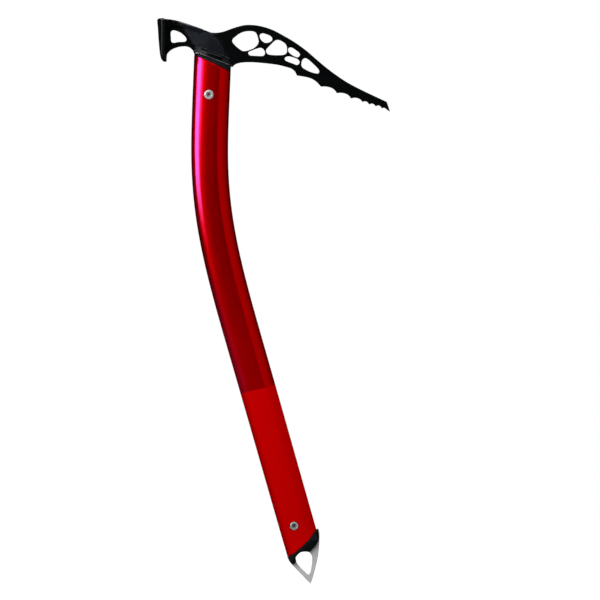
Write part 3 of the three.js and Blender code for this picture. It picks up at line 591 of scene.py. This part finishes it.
# the blade's outer face: z, x, thickness
ADZE = np.array([[475.3, -97.6, 0.7], [478.6, -99.7, 2.5], [482.4, -100.4, 3.2],
                 [489, -100.7, 3.2], [496.5, -100.8, 3.2], [504, -100.75, 3.2],
                 [512.6, -100.6, 3.2]])
ADZE_FACE = smooth(ADZE[:, :2], steps=12)
# half of the arm's top flange, seen from above: x, y
FLANGE = smooth([[-99.2, 5], [-98.2, 12], [-96.8, 17], [-95.9, 18.6], [-94.6, 17.2],
                 [-92.6, 13.8], [-89.8, 10.4], [-86.4, 7.9], [-82.2, 6.0], [-77.2, 4.7],
                 [-70.0, 3.6], [-62.0, 2.8]], steps=10)
flange_edge = OutlineDistance([np.vstack([FLANGE, FLANGE[::-1] * [1, -1]])],
                              (-104, -24), (-56, 24), 0.3, reach=20)
TOPLINE = smooth(ADZE_TOP[::-1], steps=12)


def adze_blade(x, y, z):
    sweep = 4.3  # the outer face lies this much nearer the shaft at its sides
    down = np.clip((512.6 - z) / 37.3, -0.05, 1.02)
    half = 22.4 + 1.6 * down
    across = y / half
    face = lookup(z, ADZE_FACE) + sweep * across ** 2 * (1 - 0.75 * down ** 2)
    thickness = np.interp(z, ADZE[:, 0], ADZE[:, 2])
    slope = 1 / np.sqrt(1 + (2 * sweep * across / half) ** 2)
    plate = (np.abs(x - face - thickness / 2) - thickness / 2) * slope
    # the cutting edge is a little bowed across the blade
    edge = 475.3 + 1.2 * across ** 2
    side = round_both(np.abs(y) - half,
                      np.maximum(z - 512.45 + 1.7 * across ** 2, edge - z), 0.9)
    return round_both(plate, side, np.clip(thickness * 0.3, 0.15, 0.55))


def arm_flange(x, y, z):
    half_t = 2.1
    top = lookup(x, TOPLINE) - np.where(x < -90, 0.3, 0.06)
    return round_both(flange_edge(x, y), np.abs(z - top + half_t) - half_t, 0.7)


def neck(x, y, z):
    dx, dz = x - SEAM_START[0], z - SEAM_START[1]
    along = dx * SEAM_DIR[0] + dz * SEAM_DIR[1]
    rise = dx * SEAM_UP[0] + dz * SEAM_UP[1]
    abs_y = np.abs(y)
    # rim: the shaft's own section, standing on the seam
    depth = along * 0.905 - HALF_D + 0.1
    steepness, width = section_side(depth, abs_y, 0.3, 9.0)
    rim_side = (abs_y - width * 0.99) / steepness
    rim_side = np.maximum(rim_side, np.maximum(-HALF_D - depth, depth - HALF_D))
    height = 5.3 - 2.4 * smoothstep(30, 37, along)
    rim = round_both(rim_side, rise - height, 1.3)
    # body: rounded at the back like the shaft, leaning into the adze's arm
    inward = -body_back(x, z)
    full = 10.3 * (1 - 0.55 * smoothstep(6.0, 26.0, rise))
    run = 7.0 - 2.0 * smoothstep(8.0, 22.0, rise)
    rest = 1 - np.clip(inward / run, 0.004, 1)
    arch = np.sqrt(np.maximum(1 - rest * rest, 1e-6))
    slope = full * rest / run / arch
    body = (abs_y - full * arch) / np.sqrt(1 + np.minimum(slope * slope, 9.0))
    body = np.maximum(body, -inward)
    # 0.33 is the planed cheek's slope, 1.053 the length that goes with it
    cheek = (abs_y - (PICK_T / 2 - 0.1) - 0.33 * -cheek_arc(x, z)) / 1.053
    body = soft_both(body, cheek, 0.5)
    body = np.maximum(body, -rise)
    # the rim stands on the seam, with a small bevel there
    return round_both(union(rim, body, 2.2), -rise, 0.35)


def from_screw(screw, x, z):
    return np.hypot(x - screw[0], z - screw[1])


def head_field(x, y, z):
    outline = blank_edge(x, z)
    adze_hole = adze_window(x, z)
    abs_y = np.abs(y)
    half_t = PICK_T / 2 + (ARM_T - PICK_T) / 2 * smoothstep(-54, -62, x)
    # the plate thins to a chisel at the pick's tip
    from_tip = (98.9 - x) * 0.970 + (424.6 - z) * 0.2425
    half_t = np.where(x > 90, np.minimum(half_t, 0.42 + np.maximum(from_tip, 0) * 0.95), half_t)
    plate = np.maximum(outline, -windows(x, z))
    distance = round_both(np.maximum(plate, -adze_hole), abs_y - half_t, 0.38)
    distance = np.where(x < -99.2, np.maximum(distance, -99.2 - x), distance)
    near = x < -28
    if near.any():
        points = np.stack([x[near], y[near], z[near]])
        part = round_both(neck(*points), np.maximum(outline[near], -adze_hole[near]), 0.9)
        part = union(distance[near], part, 0.8)
        arm = points[0] < -54
        arm_points = points[:, arm]
        part[arm] = union(union(part[arm], arm_flange(*arm_points), 1.6),
                          adze_blade(*arm_points), 2.0)
        distance[near] = part
    # tang: runs down inside the shaft
    tang = np.maximum(np.maximum(np.abs(across_shaft(x, z)) - TANG_HALF_D, abs_y - TANG_T / 2),
                      np.maximum(z - 480.0, 430.0 - z))
    tang = np.maximum(tang, -(from_screw(UPPER_SCREW, x, z) - SCREW_BORE_R))
    return np.minimum(distance, tang)


# ------------------------------------------------------------- moulded packings
def shaft_skin(depth, half):
    """Distance to the shaft's section in its own plane."""
    steepness, width = section_side(depth, half, 0.25, 16.0)
    return np.maximum((half - width) / steepness, np.abs(depth) - HALF_D)


def bored_half(distance, screw, seat_y, side, x, y, z):
    """Bores a packing for its screw, sinks the head's seat and keeps one side of it."""
    radius = from_screw(screw, x, z)
    distance = np.maximum(distance, SCREW_BORE_R - radius)
    distance = np.maximum(distance, -np.maximum(radius - SCREW_SEAT_R, seat_y - np.abs(y)))
    return np.maximum(distance, PACK_SPLIT - y * side)


def upper_pack(side):
    """Rim between the head and the tube, and a core inside the tube."""
    def field(x, y, z):
        depth, t, size = shaft_coords(x, z)
        abs_y = np.abs(y)
        skin = (shaft_skin(depth, abs_y / size) + 0.03) * size
        to_seam = above_line(SEAM_LINE, x, z)
        rim = round_both(skin, to_seam + 0.3, 0.28)
        rim = round_both(rim, 0.25 - above_line(TUBE_TOP, x, z), 0.2)
        core = np.maximum(skin + WALL + GAP, np.maximum(422.5 - t, to_seam + 0.8))
        room = np.maximum(np.abs(across_shaft(x, z)) - TANG_ROOM_HALF_D,
                          abs_y - UPPER_ROOM_HALF_T)
        distance = np.maximum(np.minimum(rim, core), -room)
        return bored_half(distance, UPPER_SCREW, 7.9, side, x, y, z)
    return field


EYE_CURVE = smooth(EYE, True)
# side outline of the lower packing; its middle run follows the eye's back and top
PLUG = chain(
    [[-19.6, 26.6]],
    smooth([[-18.3, 24.6], [-17.3, 22.6], [-16.2, 20.2], [-14.9, 18.8], [-13.4, 18.5],
            [-11.9, 19.3]]),
    np.array(sorted([p for p in EYE_CURVE.tolist() if p[1] > 21.5 and p[0] < -5.9],
                    key=lambda p: p[1])
             + sorted([p for p in EYE_CURVE.tolist() if p[1] > 27.6 and p[0] >= -5.9],
                      key=lambda p: p[0])),
    smooth([[3.2, 29.5], [4.9, 31.2], [6.6, 33.0], [8.2, 35.0], [9.6, 37.1], [10.5, 39.6],
            [10.85, 42.6], [10.8, 45.4], [10.3, 47.6]]),
    [[10.3, 58], [-6, 92], [-38, 82]])
SPIKE_LOOP = chain(*[smooth(edge) for edge in SPIKE_EDGES], [[-22, 36]])
SPIKE_BOX = (-26, -4), (16, 54)
plug_edge = OutlineDistance([PLUG], (-42, 12), (16, 96), RASTER)
spike_edge = OutlineDistance([SPIKE_LOOP], *SPIKE_BOX, 0.15)
eye_edge = OutlineDistance([EYE_CURVE], *SPIKE_BOX, 0.15)
# the lower packing's taper: distance above a line through CUT_START, half width
CUT_START = (8.9, 48.0)
CUT_UP = np.array([-22.9, 27.8]) / math.hypot(27.8, 22.9)
TAPER = np.vstack([
    smooth([[-14, 3.0], [-11.5, 3.2], [-9.5, 5.0], [-7.5, 6.9], [-5.5, 8.4],
            [-3.5, 9.4], [-1.5, 9.95], [0.5, 10.1]], steps=10),
    [[60, 10.1]]])


def lower_pack(side):
    """Tapered plug over the spike, and a core inside the tube."""
    def field(x, y, z):
        depth, t, size = shaft_coords(x, z)
        abs_y = np.abs(y)
        skin = shaft_skin(depth, abs_y / size) * size
        to_tube = (z - end_z(x)) / np.sqrt(1 + table_slope(x, END_CURVE, 0.5) ** 2)
        rim = round_both(skin - 1.2, to_tube + 0.28, 0.2)
        core = np.maximum(skin + WALL + GAP, t - 72.0)
        distance = np.minimum(rim, core)
        rise = (x - CUT_START[0]) * CUT_UP[0] + (z - CUT_START[1]) * CUT_UP[1]
        slope = table_slope(rise, TAPER, 0.3)
        taper = (abs_y - lookup(rise, TAPER)) / np.sqrt(1 + slope * slope)
        distance = soft_both(distance, taper, 0.8)
        distance = round_both(distance, plug_edge(x, z), 0.7)
        # room for the spike's blade below the cut, and for its tang above
        slot = np.where(to_tube < 0.6, LOWER_ROOM_HALF_T - abs_y, -9.0)
        room = np.maximum(np.abs(across_shaft(x, z)) - TANG_ROOM_HALF_D,
                          np.maximum(abs_y - LOWER_ROOM_HALF_T, z - 66.3))
        distance = np.maximum(np.maximum(distance, slot), -room)
        return bored_half(distance, LOWER_SCREW, 7.6, side, x, y, z)
    return field


# ------------------------------------------------------------------- the spike
def spike_field(x, y, z):
    plate = np.abs(y) - SPIKE_T / 2
    blade = np.maximum(spike_edge(x, z), (z - end_z(x) + 0.3) * 0.76)
    blade = round_both(np.maximum(blade, -eye_edge(x, z)), plate, 0.42)
    tang = np.maximum(np.abs(across_shaft(x, z)) - TANG_HALF_D,
                      np.maximum(plate, np.maximum(z - 66.0, 33.0 - z)))
    tang = np.maximum(tang, -eye_edge(x, z))
    tang = np.maximum(tang, SCREW_BORE_R - from_screw(LOWER_SCREW, x, z))
    return np.minimum(blade, tang)


# ------------------------------------------------------------------ the screws
def six_lobes(x, z):
    """Distance, about, to the drive's rounded six-pointed outline."""
    return (np.hypot(x, z) - 1.95 - 0.34 * np.cos(6 * np.arctan2(z, x) + 0.5)) * 0.86


def screw_field(centre, half, nut):
    """A screw whose head is on the -Y side, or its sleeve nut with the head on +Y."""
    face = half + PROUD
    dome_r = 26.0

    def field(x, y, z):
        x, z = x - centre[0], z - centre[1]
        out = y if nut else -y
        radius = np.hypot(x, z)
        # a shallow dome on a thin cylindrical edge
        dome = np.hypot(radius, out - (face - dome_r)) - dome_r
        head = np.maximum(round_both(radius - SCREW_HEAD_R[centre], dome, 0.42),
                          (face - 2.1) - out)
        drive = np.maximum(six_lobes(x, z), (face - (1.2 if nut else 1.5)) - out)
        # a small countersink round the drive
        sink = (radius - 2.45 - (out - face) * 0.8) * 0.78
        if nut:
            barrel = np.maximum(np.maximum(radius - 3.3, -7.2 - out), out - face + 1.0)
            bore = np.maximum(radius - 2.5, out - 7.3)
            body = np.maximum(np.minimum(head, barrel), -bore)
        else:
            shank = np.maximum(np.maximum(radius - 2.2, -6.9 - out), out - face + 1.0)
            body = np.minimum(head, shank)
        return np.maximum(np.maximum(body, -drive), -sink)
    return field


# ------------------------------------------------------------------ the pieces
def build_polished(name, field, low, high, step):
    return polish(make_surface(name, field, low, high, step), field)


def build_pieces():
    """Each CAD node's name with the object that replaces it and its finish."""
    pieces = {
        "shaft": (build_shaft(), "shaft_red"),
        "head": (build_polished("head_forging", head_field, (-103, -25.5, 413),
                                (103, 25.5, 515), 0.42), "head_steel")}
    pack_step = 0.4
    for side, tag in ((1, "left"), (-1, "right")):  # left is +Y
        y_low, y_high = (-0.8, 11.5) if side > 0 else (-11.5, 0.8)
        pieces["head_insert_" + tag] = (build_polished(
            "head_packing_" + tag, upper_pack(side), (-76, y_low, 420),
            (-35, y_high, 484), pack_step), "moulded_black")
        pieces["spike_insert_" + tag] = (build_polished(
            "spike_packing_" + tag, lower_pack(side), (-28, y_low, 16),
            (13, y_high, 77), pack_step), "moulded_black")
    pieces["spike"] = (build_polished("spike_plate", spike_field, (-22, -3, -1), (13, 3, 69),
                                      0.3), "spike_steel")
    # the last value is the height at which the shaft's half width is taken
    for name, (x, z), width_z in (("head", UPPER_SCREW, 441.0), ("spike", LOWER_SCREW, 53.0)):
        for nut in (False, True):
            y_low, y_high = (-7.6, 11.4) if nut else (-11.4, 7.4)
            obj = make_surface(
                name + ("_nut_bright" if nut else "_screw_bright"),
                screw_field((x, z), HALF_W * shaft_scale(width_z), nut),
                (x - 5, y_low, z - 5), (x + 5, y_high, z + 5), 0.2)
            pieces[name + ("_sleeve_nut" if nut else "_screw")] = (
                shade_by_angle(obj, 38), "fastener_steel")
    return pieces


# ------------------------------------------------------------------- materials
class Nodes:
    """A short way to lay out the shader nodes of a material or a world."""

    def __init__(self, owner, kind="Material"):
        owner.use_nodes = True
        self.owner, self.tree = owner, owner.node_tree
        self.tree.nodes.clear()
        self.out = self.add("Output" + kind)

    def add(self, kind, inputs=None, **settings):
        """A node with these settings and inputs, each a value or a socket to link."""
        node = self.tree.nodes.new("ShaderNode" + kind)
        for key, value in settings.items():
            setattr(node, key, value)
        for key, value in (inputs or {}).items():
            if isinstance(value, bpy.types.NodeSocket):
                self.tree.links.new(value, node.inputs[key])
            else:
                node.inputs[key].default_value = value
        return node

    def shader(self, kind, inputs):
        return self.add(kind, inputs).outputs[0]

    def math(self, operation, a, b=0.0):
        return self.add("Math", {0: a, 1: b}, operation=operation).outputs[0]

    def coords(self, scale=(1, 1, 1), turn=(0, 0, 0)):
        where = self.add("TexCoord").outputs["Object"]
        return self.add("Mapping", {"Vector": where, "Scale": scale,
                                    "Rotation": turn}).outputs["Vector"]

    def split(self, output):
        """The x, y and z of a texture coordinate."""
        return self.add("SeparateXYZ", {0: self.add("TexCoord").outputs[output]}).outputs

    def noise(self, scale, detail=2.0, rough=0.5, vector=None):
        return self.add("TexNoise", {
            "Scale": scale, "Detail": detail, "Roughness": rough,
            "Vector": vector or self.coords()}).outputs["Fac"]

    def ramp(self, value, over, to=(0.0, 1.0), linear=False):
        """Maps a value from the range over to the range to, clamped."""
        return self.add("MapRange", {
            "Value": value, "From Min": over[0], "From Max": over[1],
            "To Min": to[0], "To Max": to[1]},
            interpolation_type="LINEAR" if linear else "SMOOTHSTEP",
            clamp=True).outputs["Result"]

    def mix(self, factor, a, b):
        return self.add("Mix", {"Factor": factor, 6: a, 7: b}, data_type="RGBA").outputs[2]

    def bump(self, height, strength, distance):
        return self.add("Bump", {"Strength": strength, "Distance": distance,
                                 "Height": height}).outputs["Normal"]

    def plane_distance(self, point, direction):
        """Signed distance in metres from a plane."""
        where = self.add("TexCoord").outputs["Object"]
        shifted = self.add("VectorMath", {0: where, 1: point}, operation="SUBTRACT")
        return self.add("VectorMath", {0: shifted.outputs[0], 1: direction},
                        operation="DOT_PRODUCT").outputs["Value"]

    def finish(self, shader):
        self.tree.links.new(shader, self.out.inputs["Surface"])
        return self.owner


def new_nodes(name):
    return Nodes(bpy.data.materials.new(name))


def red_anodised():
    """Matt grip below a sloping line across the shaft, glossy tube above it."""
    nodes = new_nodes("red_anodised")
    start, end = np.array([-46.56, 174.53]), np.array([-26.23, 177.93])  # x, z
    line = (end - start) / np.hypot(*(end - start))
    wobble = nodes.math("MULTIPLY", nodes.math(
        "SUBTRACT", nodes.noise(scale=900.0), 0.5), 0.0005)
    height = nodes.math("ADD", nodes.plane_distance(
        point=(start[0] * MM, 0, start[1] * MM), direction=(-line[1], 0.0, line[0])), wobble)
    gloss = nodes.ramp(height, over=(-0.0002, 0.0002))
    # fine drawing lines along the tube, and the blasted grain of the grip
    along = nodes.noise(scale=1.0, detail=3.0, rough=0.6,
                        vector=nodes.coords(scale=(2600, 2600, 60)))
    grain = nodes.noise(scale=2600.0, rough=0.6)
    patch = nodes.noise(scale=28.0, detail=3.0, rough=0.55)
    rough = nodes.mix(gloss, nodes.ramp(grain, over=(0.3, 0.7), to=(0.58, 0.66)),
                      nodes.ramp(patch, over=(0.3, 0.7), to=(0.335, 0.36)))
    facing = nodes.split("Normal")[0]
    # painted shade and light: the blasted grip is coloured darker where it faces the back and
    # lighter on the front facet than on the flats
    front = nodes.mix(nodes.ramp(facing, over=(0.05, 0.42)), (0.86, 0.0002, 0.0006, 1),
                      (0.99, 0.0002, 0.0006, 1))
    matt = nodes.mix(nodes.ramp(facing, over=(-0.38, -0.85), linear=True), front,
                     (0.56, 0.0002, 0.0006, 1))
    tone = nodes.mix(gloss, matt, (0.79, 0.0002, 0.0006, 1))
    tone = nodes.mix(nodes.ramp(grain, over=(0.25, 0.75), to=(0.0, 0.12)), tone,
                     (0.60, 0.0, 0.0003, 1))
    shine = nodes.ramp(height, over=(0.0, 0.13), to=(0.68, 0.93), linear=True)
    normal = nodes.bump(nodes.mix(gloss, grain, along), strength=0.10, distance=0.00005)
    base = nodes.shader("BsdfPrincipled", {
        "Base Color": tone, "Roughness": rough, "Metallic": nodes.math("MULTIPLY", gloss, shine),
        "Specular IOR Level": 0.0, "Normal": normal})
    # the clear oxide's own reflection on the rounded back, tinted by interference
    share = nodes.math("MULTIPLY", nodes.ramp(facing, over=(-0.15, -0.35)), gloss)
    film = nodes.add("BsdfGlossy", {
        "Color": nodes.mix(share, (0, 0, 0, 1), (0.10, 0.030, 0.195, 1)),
        "Roughness": 0.19, "Normal": normal}, distribution="BECKMANN").outputs[0]
    return nodes.finish(nodes.shader("AddShader", {0: base, 1: film}))


def black_steel():
    nodes = new_nodes("black_coated_steel")
    grain = nodes.noise(scale=1500.0, detail=3.0, rough=0.6)
    patch = nodes.noise(scale=60.0, detail=4.0, rough=0.6)
    up = nodes.plane_distance(point=(SEAM_START[0] * MM, 0, SEAM_START[1] * MM),
                              direction=(SEAM_UP[0], 0.0, SEAM_UP[1]))
    right = nodes.plane_distance(point=(-34.0 * MM, 0, 466 * MM), direction=(1, 0, 0))
    # painted highlight: the thin lip at the seam is coloured as bright metal, strongest at the left
    # end and fading towards the right
    lip = nodes.math("MULTIPLY", nodes.ramp(up, over=(0.00110, 0.00080)),
                     nodes.ramp(right, over=(0.0008, 0.0)))
    lip = nodes.math("MULTIPLY", lip, nodes.ramp(right, over=(-0.0375, -0.0368)))
    lip = nodes.math("MULTIPLY", lip,
                     nodes.ramp(right, over=(-0.024, -0.004), to=(1.0, 0.30)))
    tone = nodes.mix(nodes.ramp(patch, over=(0.35, 0.7)), (0.0014, 0.0018, 0.0019, 1),
                     (0.0022, 0.0026, 0.0028, 1))
    # painted light: the neck's cheeks are coloured lighter than the plate they rise from, as if lit
    # more from above
    place = nodes.split("Object")
    plate = nodes.ramp(place[0], over=(-54 * MM, -62 * MM),
                       to=(PICK_T / 2 * MM, ARM_T / 2 * MM))
    rise = nodes.math("SUBTRACT", nodes.math("ABSOLUTE", place[1]), plate)
    cheek_painted_light = nodes.math("MULTIPLY", nodes.ramp(rise, over=(0.10 * MM, 0.55 * MM)),
                        nodes.ramp(up, over=(6.0 * MM, 8.0 * MM)))
    cheek_painted_light = nodes.math("MULTIPLY", cheek_painted_light,
                        nodes.ramp(place[0], over=(-86 * MM, -84 * MM)))
    tone = nodes.mix(cheek_painted_light, tone, (0.0078, 0.0098, 0.0140, 1))
    # the lip's painted highlight is mixed into the base colour here
    return nodes.finish(nodes.shader("BsdfPrincipled", {
        "Base Color": nodes.mix(lip, tone, (0.60, 0.56, 0.58, 1)),
        "Metallic": lip,
        "Roughness": nodes.ramp(grain, over=(0.3, 0.7), to=(0.20, 0.24)),
        "Specular IOR Level": 0.32,
        "Specular Tint": (0.86, 0.93, 1.0, 1),
        "Normal": nodes.bump(grain, strength=0.12, distance=0.00004)}))


def black_moulding():
    nodes = new_nodes("black_moulding")
    grain = nodes.noise(scale=2200.0)
    patch = nodes.noise(scale=90.0, detail=3.0, rough=0.6)
    return nodes.finish(nodes.shader("BsdfPrincipled", {
        "Base Color": nodes.mix(nodes.ramp(patch, over=(0.3, 0.7)),
                                (0.0104, 0.0116, 0.0136, 1), (0.0122, 0.0134, 0.0156, 1)),
        "Roughness": nodes.ramp(grain, over=(0.3, 0.7), to=(0.42, 0.52)),
        "Specular IOR Level": 0.18,
        "Specular Tint": (0.86, 0.93, 1.0, 1),
        "Normal": nodes.bump(grain, strength=0.2, distance=0.00006)}))


def brushed_stainless():
    nodes = new_nodes("brushed_stainless")
    lines = nodes.noise(scale=1.0, detail=4.0, rough=0.65, vector=nodes.coords(
        scale=(5200, 5200, 160), turn=(0, math.radians(28), 0)))
    fine = nodes.noise(scale=2400.0)
    return nodes.finish(nodes.shader("BsdfPrincipled", {
        "Base Color": nodes.mix(nodes.ramp(lines, over=(0.25, 0.75)),
                                (0.66, 0.65, 0.665, 1), (0.73, 0.72, 0.735, 1)),
        "Metallic": 0.08,
        "Roughness": nodes.ramp(fine, over=(0.3, 0.7), to=(0.48, 0.56)),
        "Normal": nodes.bump(lines, strength=0.10, distance=0.00003)}))


def bright_plating():
    nodes = new_nodes("bright_plating")
    fine = nodes.noise(scale=1800.0, detail=3.0, rough=0.6)
    place_y, normal_y = nodes.split("Object")[1], nodes.split("Normal")[1]
    # painted shade: the drive recess is coloured dark, its walls most of all
    low = nodes.ramp(nodes.math("ABSOLUTE", place_y), over=(0.01022, 0.01002))
    wall = nodes.ramp(nodes.math("ABSOLUTE", normal_y), over=(0.86, 0.55), to=(0.35, 1.0))
    recess_painted_shade = nodes.math("MULTIPLY", low, wall)
    bright = nodes.mix(nodes.ramp(fine, over=(0.3, 0.7)), (0.84, 0.83, 0.84, 1),
                       (0.96, 0.95, 0.96, 1))
    return nodes.finish(nodes.shader("BsdfPrincipled", {
        "Base Color": nodes.mix(recess_painted_shade, bright, (0.07, 0.065, 0.07, 1)),
        "Metallic": 0.5,
        "Roughness": nodes.ramp(fine, over=(0.3, 0.7), to=(0.26, 0.34)),
        "Normal": nodes.bump(fine, strength=0.08, distance=0.00003)}))


pieces = build_pieces()
MATERIALS = {"shaft_red": red_anodised(), "head_steel": black_steel(),
             "moulded_black": black_moulding(), "spike_steel": brushed_stainless(),
             "fastener_steel": bright_plating()}
for cad_node, (obj, finish) in pieces.items():
    obj.data.materials.clear()
    obj.data.materials.append(MATERIALS[finish])
    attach(obj, "root")
    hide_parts(cad_node)

# ----------------------------------------------------------------------- stage
scene = bpy.context.scene
scene.view_settings.view_transform = "Standard"
scene.view_settings.look = "None"
scene.cycles.use_denoising = True


def pale_floor():
    """Near white to the camera, and a dull grey to every other ray."""
    nodes = new_nodes("pale_floor")
    plaster = nodes.noise(scale=40.0, detail=3.0)
    matt = nodes.shader("BsdfDiffuse", {"Color": nodes.mix(
        plaster, (0.80, 0.80, 0.80, 1), (0.83, 0.83, 0.83, 1))})
    # what the floor throws back: much in front and on the right, little elsewhere
    place = nodes.split("Object")
    lean = nodes.math("SUBTRACT", place[0], nodes.math("MULTIPLY", place[1], 0.35))
    bounce = nodes.math("MULTIPLY", nodes.ramp(lean, over=(0.02, 0.16)),
                        nodes.ramp(place[1], over=(0.0, -0.12)))
    dull = nodes.shader("BsdfDiffuse", {"Color": nodes.mix(
        bounce, (0.03, 0.03, 0.03, 1), (0.42, 0.42, 0.42, 1))})
    near = nodes.shader("AddShader", {
        0: matt, 1: nodes.shader("Emission", {"Strength": 0.60})})
    far = nodes.shader("Emission", {"Strength": 1.0})
    from_middle = nodes.add("VectorMath", {0: nodes.add("TexCoord").outputs["Object"]},
                            operation="LENGTH").outputs["Value"]
    seen = nodes.shader("MixShader", {
        0: nodes.ramp(from_middle, over=(0.28, 0.75)), 1: near, 2: far})
    camera_ray = nodes.add("LightPath").outputs["Is Camera Ray"]
    return nodes.finish(nodes.shader("MixShader", {0: camera_ray, 1: dull, 2: seen}))


FLOOR_R = 7
disc = bpy.data.meshes.new("floor")
disc.from_pydata([(FLOOR_R * math.cos(a), FLOOR_R * math.sin(a), 0.0)
                  for a in np.linspace(0, 2 * math.pi, 96, endpoint=False)],
                 [], [list(range(96))])
floor = bpy.data.objects.new("floor", disc)
scene.collection.objects.link(floor)
floor.location = (0, 0, -0.0003)
floor.data.materials.append(pale_floor())

# the world is white to the camera and nearly dark to everything else
scene.world = bpy.data.worlds.new("studio")
nodes = Nodes(scene.world, "World")
seen, felt = [nodes.shader("Background", {"Color": (1, 1, 1, 1), "Strength": strength})
              for strength in (1.0, 0.012)]
camera_ray = nodes.add("LightPath").outputs["Is Camera Ray"]
nodes.finish(nodes.shader("MixShader", {0: camera_ray, 1: felt, 2: seen}))


# ---------------------------------------------------------------------- lights
def outward(azimuth, elevation):
    """Direction from the object. Azimuth 0 is the camera's side, positive to its right."""
    a, e = math.radians(azimuth), math.radians(elevation)
    return Vector((math.sin(a) * math.cos(e), -math.cos(a) * math.cos(e), math.sin(e)))


def place_light(data, location, away):
    """Adds a light that shines against away and isn't seen by the camera."""
    obj = bpy.data.objects.new(data.name, data)
    scene.collection.objects.link(obj)
    obj.location = location
    obj.rotation_mode = "QUATERNION"
    obj.rotation_quaternion = away.to_track_quat("Z", "Y")
    obj.visible_camera = False
    return obj


AIM = Vector((-0.03, 0.0, 0.27))
# name, azimuth, elevation, distance, width, height, brightness
for name, azimuth, elevation, distance, width, height, glow in (
        ("left_strip", -55, 20, 1.6, 0.96, 0.92, 4.3),
        ("left_shoulder", -26, 25, 1.6, 0.55, 0.80, 2.6),
        ("right_panel", 48, 6, 1.8, 1.2, 1.3, 0.53),
        ("top_front", 12, 50, 1.6, 1.0, 0.7, 3.3),
        ("rear_panel", 180, 48, 1.7, 1.4, 0.9, 2.8),
        ("rear_fill", -155, 14, 1.8, 0.9, 1.1, 1.1)):
    data = bpy.data.lights.new(name, "AREA")
    data.shape, data.size, data.size_y = "RECTANGLE", width, height
    data.energy = glow * math.pi * width * height
    location = AIM + distance * outward(azimuth, elevation)
    box = place_light(data, location, location - AIM)
    if name == "rear_fill":
        box.visible_glossy = False  # it must not edge the tube with light

# fills the shadow that the lower packing throws on the spike, from 1 m away
data = bpy.data.lights.new("spike_fill", "SPOT")
data.energy, data.shadow_soft_size = 10.0, 0.015
data.spot_size, data.spot_blend = math.radians(3.5), 0.7
away = outward(azimuth=42, elevation=3.0)
place_light(data, Vector((0.003, 0.0, 0.012)) + away, away)

# ---------------------------------------------------------------------- camera
TURN = math.radians(4.08)  # the object leans this much in the main view
DISTANCE, VIEW_WIDTH = 2.8, 0.53676
camera_data = bpy.data.cameras.new("camera")
camera = bpy.data.objects.new("camera", camera_data)
scene.collection.objects.link(camera)
right = Vector((math.cos(TURN), 0, -math.sin(TURN)))
up = Vector((math.sin(TURN), 0, math.cos(TURN)))
back = Vector((0, -1, 0))
middle = Vector((0.00876, 0, 0.25346))
camera.matrix_world = Matrix(
    [(right[i], up[i], back[i], middle[i] + back[i] * DISTANCE) for i in range(3)]
    + [(0, 0, 0, 1)])
camera_data.sensor_fit = "HORIZONTAL"
camera_data.sensor_width = 36.0
camera_data.lens = 36.0 * DISTANCE / VIEW_WIDTH
camera_data.clip_start, camera_data.clip_end = 0.05, 50
scene.camera = camera
